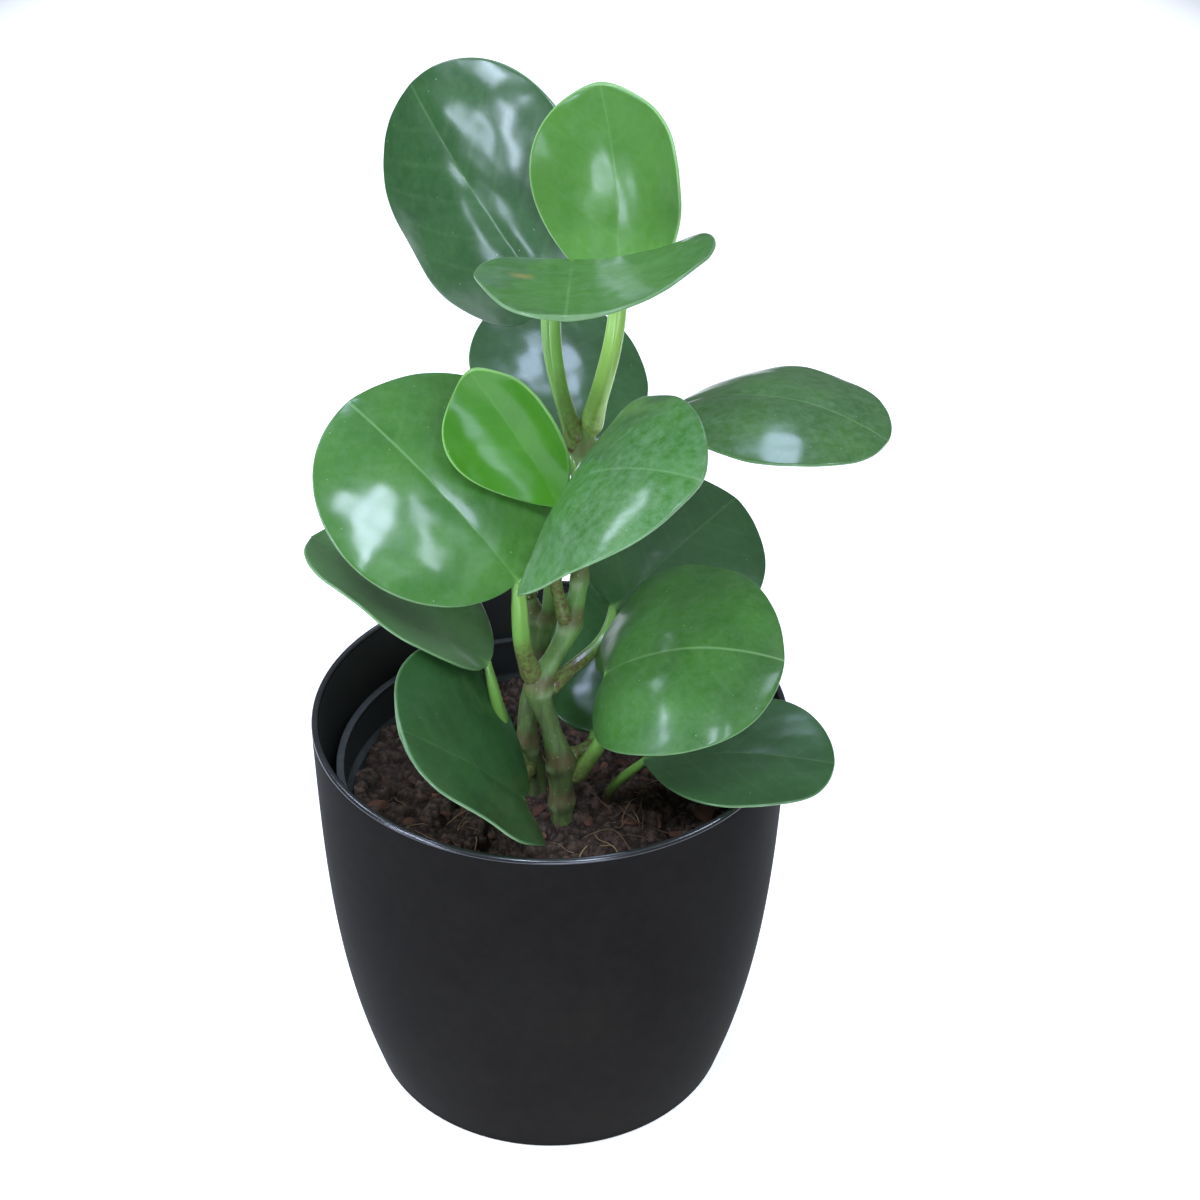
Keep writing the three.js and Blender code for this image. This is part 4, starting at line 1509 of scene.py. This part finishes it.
    def bed(self, plane: np.ndarray, tone: np.ndarray) -> bpy.types.Object:
        """Close the heaped surface with a side wall and a bottom.

        Args:
            plane: The surface's plane points.
            tone: Each point's tone.

        Returns:
            The soil's object.
        """
        number = np.arange(len(plane)).reshape(self.cells + 1, -1)
        corners = (number[:-1, :-1], number[1:, :-1], number[1:, 1:], number[:-1, 1:])
        faces = np.stack(corners, axis=-1).reshape(-1, 4).tolist()
        edges = (number[0, :-1], number[:-1, -1], number[-1, :0:-1], number[:0:-1, 0])
        above = np.concatenate(edges)
        angle = np.arctan2(plane[above, 1], plane[above, 0])
        points = [np.concatenate([plane, self.heights[:, None]], axis=1)]
        below = np.arange(len(above)) + len(plane)
        for share in np.arange(1, self.wall_rings + 1) / self.wall_rings:
            z = (self.level - 2) * (1 - share) + self.bottom * share
            radius = self.edge_radius + (self.bottom_radius - self.edge_radius) * share
            ring = (np.cos(angle) * radius, np.sin(angle) * radius, np.full(len(angle), z))
            points.append(np.stack(ring, axis=1))
            sides = (above, np.roll(above, -1), np.roll(below, -1), below)
            faces += np.stack(sides, axis=1).tolist()
            above = below
            below = above + len(above)
        points.append(np.array([[0, 0, self.bottom]]))
        middle = np.full(len(above), below[0])
        faces += np.stack([above, np.roll(above, -1), middle], axis=1).tolist()
        everything = np.concatenate(points)
        tones = np.full(len(everything), 0.3)
        tones[:len(tone)] = tone
        piece = shown("potting_soil_bed", everything, faces, PEAT.build(), toned(tones))
        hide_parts("potting_soil")
        return piece

    def ground(self, x: float, y: float) -> float:
        """Give the soil's height at a place."""
        return float(self.heights[self.finder.find((x, y, 0))[1]])

    def scatter_chips(self, draw: np.random.Generator) -> bpy.types.Object:
        """Lay bark chips in the soil: flat broken lumps, half sunk.

        Args:
            draw: The source of random numbers.

        Returns:
            The chips' object.
        """
        chips = bmesh.new()
        tones = []
        for _ in range(self.chips):
            x, y = self.spot(draw, self.chip_inset)
            long = 1.2 + 2.9 * draw.random() ** 2
            broad = long * (0.45 + 0.4 * draw.random())
            thick = long * (0.22 + 0.2 * draw.random())
            corners = unit(draw.normal(size=(18, 3))) * (0.75 + 0.25 * draw.random((18, 1)))
            turn = Matrix.Rotation(draw.random() * math.tau, 3, "Z")
            turn = turn @ Matrix.Rotation(draw.normal() * 0.35, 3, "X")
            place = Vector((x, y, self.ground(x, y) + thick * 0.15))
            made = [
                chips.verts.new((turn @ Vector(corner) + place) * MM)
                for corner in corners * (long, broad, thick)
            ]
            inner = bmesh.ops.convex_hull(chips, input=made)["geom_interior"]
            inner = [g for g in inner if isinstance(g, bmesh.types.BMVert)]
            bmesh.ops.delete(chips, geom=inner)
            tones += [draw.random()] * (len(chips.verts) - len(tones))
        mesh = bpy.data.meshes.new("soil_bark_chips")
        chips.to_mesh(mesh)
        chips.free()
        points = points_of(mesh)
        faces = [list(face.vertices) for face in mesh.polygons]
        bpy.data.meshes.remove(mesh)
        piece = shown("soil_bark_chips", points, faces, BARK.build(), toned(tones))
        rounded = piece.modifiers.new("worn", "BEVEL")
        rounded.width = 0.12 * MM
        rounded.segments = 2
        apply_modifiers(piece)
        return piece

    def scatter_fibres(self, draw: np.random.Generator) -> bpy.types.Object:
        """Strew coir fibres on the soil: thin bent threads that follow its surface.

        Args:
            draw: The source of random numbers.

        Returns:
            The fibres' object.
        """
        threads = []
        tones = []
        for i in range(self.fibres):
            if i % 3 == 0:
                x, y = self.spot(draw, self.fibre_inset)
            else:
                x, y, spread = self.tufts[i % len(self.tufts)]
                x += draw.normal() * spread * 0.5
                y += draw.normal() * spread * 0.5
            heading = draw.random() * math.tau
            bend = draw.normal() * 0.05
            step = (4 + 9 * draw.random()) / self.fibre_steps
            radius = 0.1 + 0.13 * draw.random() ** 2
            spring = 0.3 + 1.6 * draw.random() ** 2
            line = []
            for share in np.arange(self.fibre_steps + 1) / self.fibre_steps:
                if math.hypot(x, y) > self.edge_radius - 3:
                    break
                lift = self.ground(x, y) + radius + spring * math.sin(share * math.pi)
                line.append((x, y, lift))
                heading += bend + 0.12 * math.sin(share * 9 + i)
                x += math.cos(heading) * step
                y += math.sin(heading) * step
            if len(line) < 6:
                continue
            line = np.array(line)
            for _ in range(3):
                line[1:-1] = (line[:-2] + line[1:-1] + line[2:]) / 3
            tangents = unit(np.gradient(line, axis=0))
            side = unit(np.cross(tangents, (0, 0, 1)))
            over = np.cross(side, tangents)
            turn = (np.arange(6) / 6 * math.tau)[None, :, None]
            outward = np.cos(turn) * side[:, None, :] + np.sin(turn) * over[:, None, :]
            thin = radius * (1 - 0.6 * np.linspace(0, 1, len(line)) ** 3)
            thread = skin_rings(line[:, None, :] + thin[:, None, None] * outward)
            threads.append(thread)
            tones += [draw.random()] * len(thread[0])
        return shown("soil_coir_fibres", *join(threads), COIR.build(), toned(tones))


WINDOW = "#d6e4ff"
SKY_WINDOW = "#c8d9ff"
CROWN: Triple = (0, 0, 0.26)


@dataclass(frozen=True)
class Lamp:
    """A soft box aimed at the plant, with its sizes in metres.

    Its azimuth is 0 in front of the plant and rises to the right. Its brightness is that of its
    face, where white paper in the scene has about 1.
    """

    name: str
    azimuth: float
    elevation: float
    width: float
    height: float
    brightness: float
    target: Triple = (0, 0, 0.17)
    colour: str = WINDOW
    distance: float = 1.2

    def build(self) -> None:
        """Hang the lamp and aim it."""
        light = bpy.data.lights.new(self.name, "AREA")
        light.shape = "RECTANGLE"
        light.size = self.width
        light.size_y = self.height
        light.color = linear(self.colour)[:3]
        light.energy = self.brightness * math.pi * self.width * self.height
        azimuth, elevation = math.radians(self.azimuth), math.radians(self.elevation)
        outward = Vector((
            math.sin(azimuth) * math.cos(elevation),
            -math.cos(azimuth) * math.cos(elevation),
            math.sin(elevation),
        ))
        holder = add_object(self.name, light)
        holder.location = Vector(self.target) + outward * self.distance
        holder.rotation_euler = (-outward).to_track_quat("-Z", "Y").to_euler()


@dataclass(frozen=True)
class Studio:
    """The camera at the photograph's place, the paper sheet, a dim sky and the windows.

    Places and sizes are in metres, apart from the sensor in millimetres.
    """

    focal_pixels: float = 2200
    frame_pixels: float = 1200
    centre_pixels: tuple[float, float] = (550, 600)
    sensor: float = 36
    camera_place: Triple = (0, -0.48622, 0.46876)
    camera_pitch: float = -33.2
    floor_finish: PaperSheet = PaperSheet("studio_floor")
    floor_reach: float = 20
    sky_colour: str = "#e6eef8"
    sky_low: float = 0.2
    sky_high: float = 0.45
    lamps: tuple[Lamp, ...] = (
        Lamp("window_front_left", -14, 56, 0.14, 0.22, 43),
        Lamp("window_front_right", 20, 47, 0.13, 0.6, 21),
        Lamp("window_left_high", -56, 20, 0.12, 0.2, 42, CROWN),
        Lamp("window_left_middle", -69, 11, 0.1, 0.11, 38, CROWN),
        Lamp("window_left_low", -67, -8, 0.12, 0.12, 24, CROWN),
        Lamp("window_low", -46, -7, 0.2, 0.2, 15, CROWN),
        Lamp("window_left_upper", -73, 40, 0.18, 0.16, 38),
        Lamp("window_front_low", 10, -4, 0.65, 0.3, 8, (0, 0, 0.22)),
        Lamp("window_far_left", -112, 42, 0.24, 0.22, 16),
        Lamp("window_above", -118, 69, 0.14, 0.2, 22, colour=SKY_WINDOW),
        Lamp("window_behind", 166, 57, 0.22, 0.2, 17, (0, 0.05, 0.19), SKY_WINDOW),
        Lamp("window_right", 86, 44, 0.3, 0.3, 14),
    )

    def build(self) -> None:
        """Set up the camera, the floor, the sky and the lamps."""
        self.set_camera()
        self.lay_floor()
        self.light_sky()
        for lamp in self.lamps:
            lamp.build()
        bpy.context.scene.view_settings.view_transform = "Standard"

    def set_camera(self) -> None:
        """Put the camera where the photograph was taken, with its centre off the middle."""
        camera = bpy.data.cameras.new("camera")
        camera.sensor_width = self.sensor
        camera.lens = self.focal_pixels / self.frame_pixels * self.sensor
        camera.shift_x = (self.frame_pixels / 2 - self.centre_pixels[0]) / self.frame_pixels
        camera.shift_y = (self.centre_pixels[1] - self.frame_pixels / 2) / self.frame_pixels
        holder = add_object("camera", camera)
        holder.location = self.camera_place
        holder.rotation_euler = (math.radians(90 + self.camera_pitch), 0, 0)
        bpy.context.scene.camera = holder

    def lay_floor(self) -> None:
        """Lay the floor, which carries the sheet and the table."""
        reach = self.floor_reach
        corners = [(-reach, -reach, 0), (reach, -reach, 0), (reach, reach, 0), (-reach, reach, 0)]
        mesh = bpy.data.meshes.new("floor")
        mesh.from_pydata(corners, [], [(0, 1, 2, 3)])
        mesh.materials.append(self.floor_finish.build())
        floor = add_object("floor", mesh)

    def light_sky(self) -> None:
        """Light the room dimly, a little brighter from above."""
        world = bpy.data.worlds.new("studio_sky")
        world.use_nodes = True
        world.node_tree.nodes.clear()
        add = partial(add_node, world.node_tree)
        aim = add("SeparateXYZ", add("TexCoord").outputs["Generated"])
        brightness = add(
            "MapRange", aim.outputs[2], 0.35, 0.95, self.sky_low, self.sky_high,
            interpolation_type="SMOOTHSTEP",
        )
        add("OutputWorld", add("Background", linear(self.sky_colour), brightness))
        bpy.context.scene.world = world


MAIN_STEM = Stem(
    "stem_main",
    routes=((
        (4, -14, SOIL_LEVEL - 22, 3.2),
        (3, -16, SOIL_LEVEL, 3.4),
        (3, -16, 98, 3.3),
        (3, -16, 108, 3.8),
        (0, -16, 121, 2.7),
        (-3, -16, 134, 3.5),
        (1, -14, 142, 2.5),
        (5, -12, 150, 2.9),
        (8, -6, 164, 2.0),
        (10, 0, 176, 2.6),
        (10, 1, 184, 2.3),
        (9, 4, 194, 2.9),
        (9, 5, 200, 2.2),
    ),),
    scars=(96, 109, 134, 151, 162, 177, 193),
)
BACK_STEM = Stem(
    "stem_back",
    routes=(
        (
            (-2, -4, SOIL_LEVEL - 22, 2.7),
            (-3, -3, SOIL_LEVEL, 3.1),
            (-6, -1, 104, 3.1),
            (-6, 1, 114, 2.6),
            (-3, 4, 129, 3.1),
            (-4, 6, 140, 3.0),
            (-5, 7, 145, 2.2),
        ),
        (
            (-3, 4, 129, 2.4),
            (-1, 3, 140, 2.0),
            (0, 1, 150, 2.0),
            (1, -2, 160, 2.2),
            (2, -4, 167, 1.7),
        ),
    ),
    scars=(104, 129, 142, 162),
)

LEAVES = (
    Leaf(
        "leaf_crown_left", (-1, 16, 231), 143.5, 42, (7, 3.5, 192), LeafFinish.CROWN_LEFT,
        65.5, 62, roll=-80, bend=-16, cup=-20, lobe=0.07, wide=1.07, stalk=1.8, flow=0.1, bow=-2,
        crease=(0.45, 3.2),
    ),
    Leaf(
        "leaf_crown_right", (16.5, 4.5, 236.5), 82, 62, (9.5, 4.5, 194), LeafFinish.LIGHT,
        51, 45.5, roll=-24, bend=33, cup=38, lobe=-0.02, wide=1.13, tip=0.02, skew=-0.04, stalk=2.5,
        stalk_tip=2.2,
    ),
    Leaf(
        "leaf_crown_front", (5.3, -3, 249), -92, 12, (8, 4, 195), LeafFinish.CROWN_FRONT,
        56, 57, roll=2, cup=28, lobe=0.04, skew=0.23, stalk=1.5, bow=-7,
    ),
    Leaf(
        "leaf_crown_back", (6, 24, 184), 96, 24, (10, 2, 177), LeafFinish.DARK,
        59, 50, roll=8, bend=-16, cup=-12,
    ),
    Leaf(
        "leaf_right_far", (32, 9, 203), -22, 32, (10, 0.5, 180), LeafFinish.DUSTY,
        58, 55, roll=-3, bend=-60, cup=-15, wide=1.05, skew=-0.04,
    ),
    Leaf(
        "leaf_left_large", (-8, -23, 171), 159, 50, (-3, -16, 134), LeafFinish.GREEN,
        64, 62, roll=-36, bend=-38, cup=-14, skew=-0.06, stalk=2.4, stalk_tip=1.9, bow=-4.5,
        browned=0.4, crease=(0.15, 2.5),
    ),
    Leaf(
        "leaf_young", (3, -15.2, 187.6), 147, 55, (1.5, -3, 163), LeafFinish.YOUNG,
        40, 33, roll=-73, bend=19, cup=51, lobe=-0.04, wide=1.28, tip=0.07, skew=0.08, stalk=1.8,
        flow=0.8, wave=0.15,
    ),
    Leaf(
        "leaf_centre", (2, -20.5, 189), -89, 59, (4.5, -12.5, 151), LeafFinish.CENTRE,
        62, 58, roll=62, bend=-73, cup=-13, lobe=0.11, wide=0.95, tip=0.02, skew=-0.06,
        stalk=1.7, bow=-3, browned=1.6,
    ),
    Leaf(
        "leaf_right_back", (17, 9, 142), 48, 15, (-1, -15.5, 132), LeafFinish.DARK,
        60, 52, roll=28, bend=-20, cup=-10, wide=0.93, stalk=1.9, bow=5, browned=0.5,
    ),
    Leaf(
        "leaf_right_front", (14.5, -20.5, 141), -37, 50.5, (3, -16, 100), LeafFinish.HAZY,
        51, 60.5, roll=36.5, bend=-83, cup=-21.5, lobe=0.24, lobe_skew=0.16, wide=1.14,
        tip=0.01, skew=0.06, bow=9, crease=(0.8, 6),
    ),
    Leaf(
        "leaf_low_right", (25, -19, 112), -10, 18, (15, 3, SOIL_LEVEL - 12), LeafFinish.DARK,
        51, 49, bend=-25, cup=8, lobe=-0.05, wide=1.05, stalk=1.5, browned=1,
    ),
    Leaf(
        "leaf_left_low", (-16, -13, 139), 154, 41, (-4.5, -2.5, 90), LeafFinish.INNER_PAINTED_LIGHT,
        58, 49, roll=14, bend=-26, cup=10, wide=1.05, bow=-5, crease=(1.8, 9),
    ),
    Leaf(
        "leaf_left_front", (-7, -32, 108.5), 217, 52, (-4.5, -2, 96), LeafFinish.DARK,
        52.5, 60, roll=-26, bend=-13, cup=28, lobe=0.14, lobe_skew=-0.12, wide=1.18, tip=-0.02,
        skew=-0.1, stalk=1.7, flow=0.2, bow=-3, browned=4,
    ),
    Leaf(
        "leaf_behind_stems", (12, -7, 112), 75, 28, (3, -16, 108), LeafFinish.DARK,
        56, 46, roll=-5, bend=-10, cup=-5, browned=4,
    ),
    Leaf(
        "leaf_back_left", (-10, 14, 160), 125, 40, (-4.5, 6.5, 142), LeafFinish.DARK,
        50, 42, roll=10, bend=-25, cup=-10, browned=2,
    ),
)


def main() -> None:
    """Build the studio and every piece of the potted plant."""
    Studio().build()
    Cachepot().build()
    NurseryPot().build()
    SoilBed().build()
    stems = [MAIN_STEM, BACK_STEM]
    for stem in stems:
        stem.build()
    finishes = {finish: finish.value.build() for finish in LeafFinish}
    for leaf in LEAVES:
        leaf.build(stems, finishes[leaf.finish])


if __name__ == "__main__":
    main()
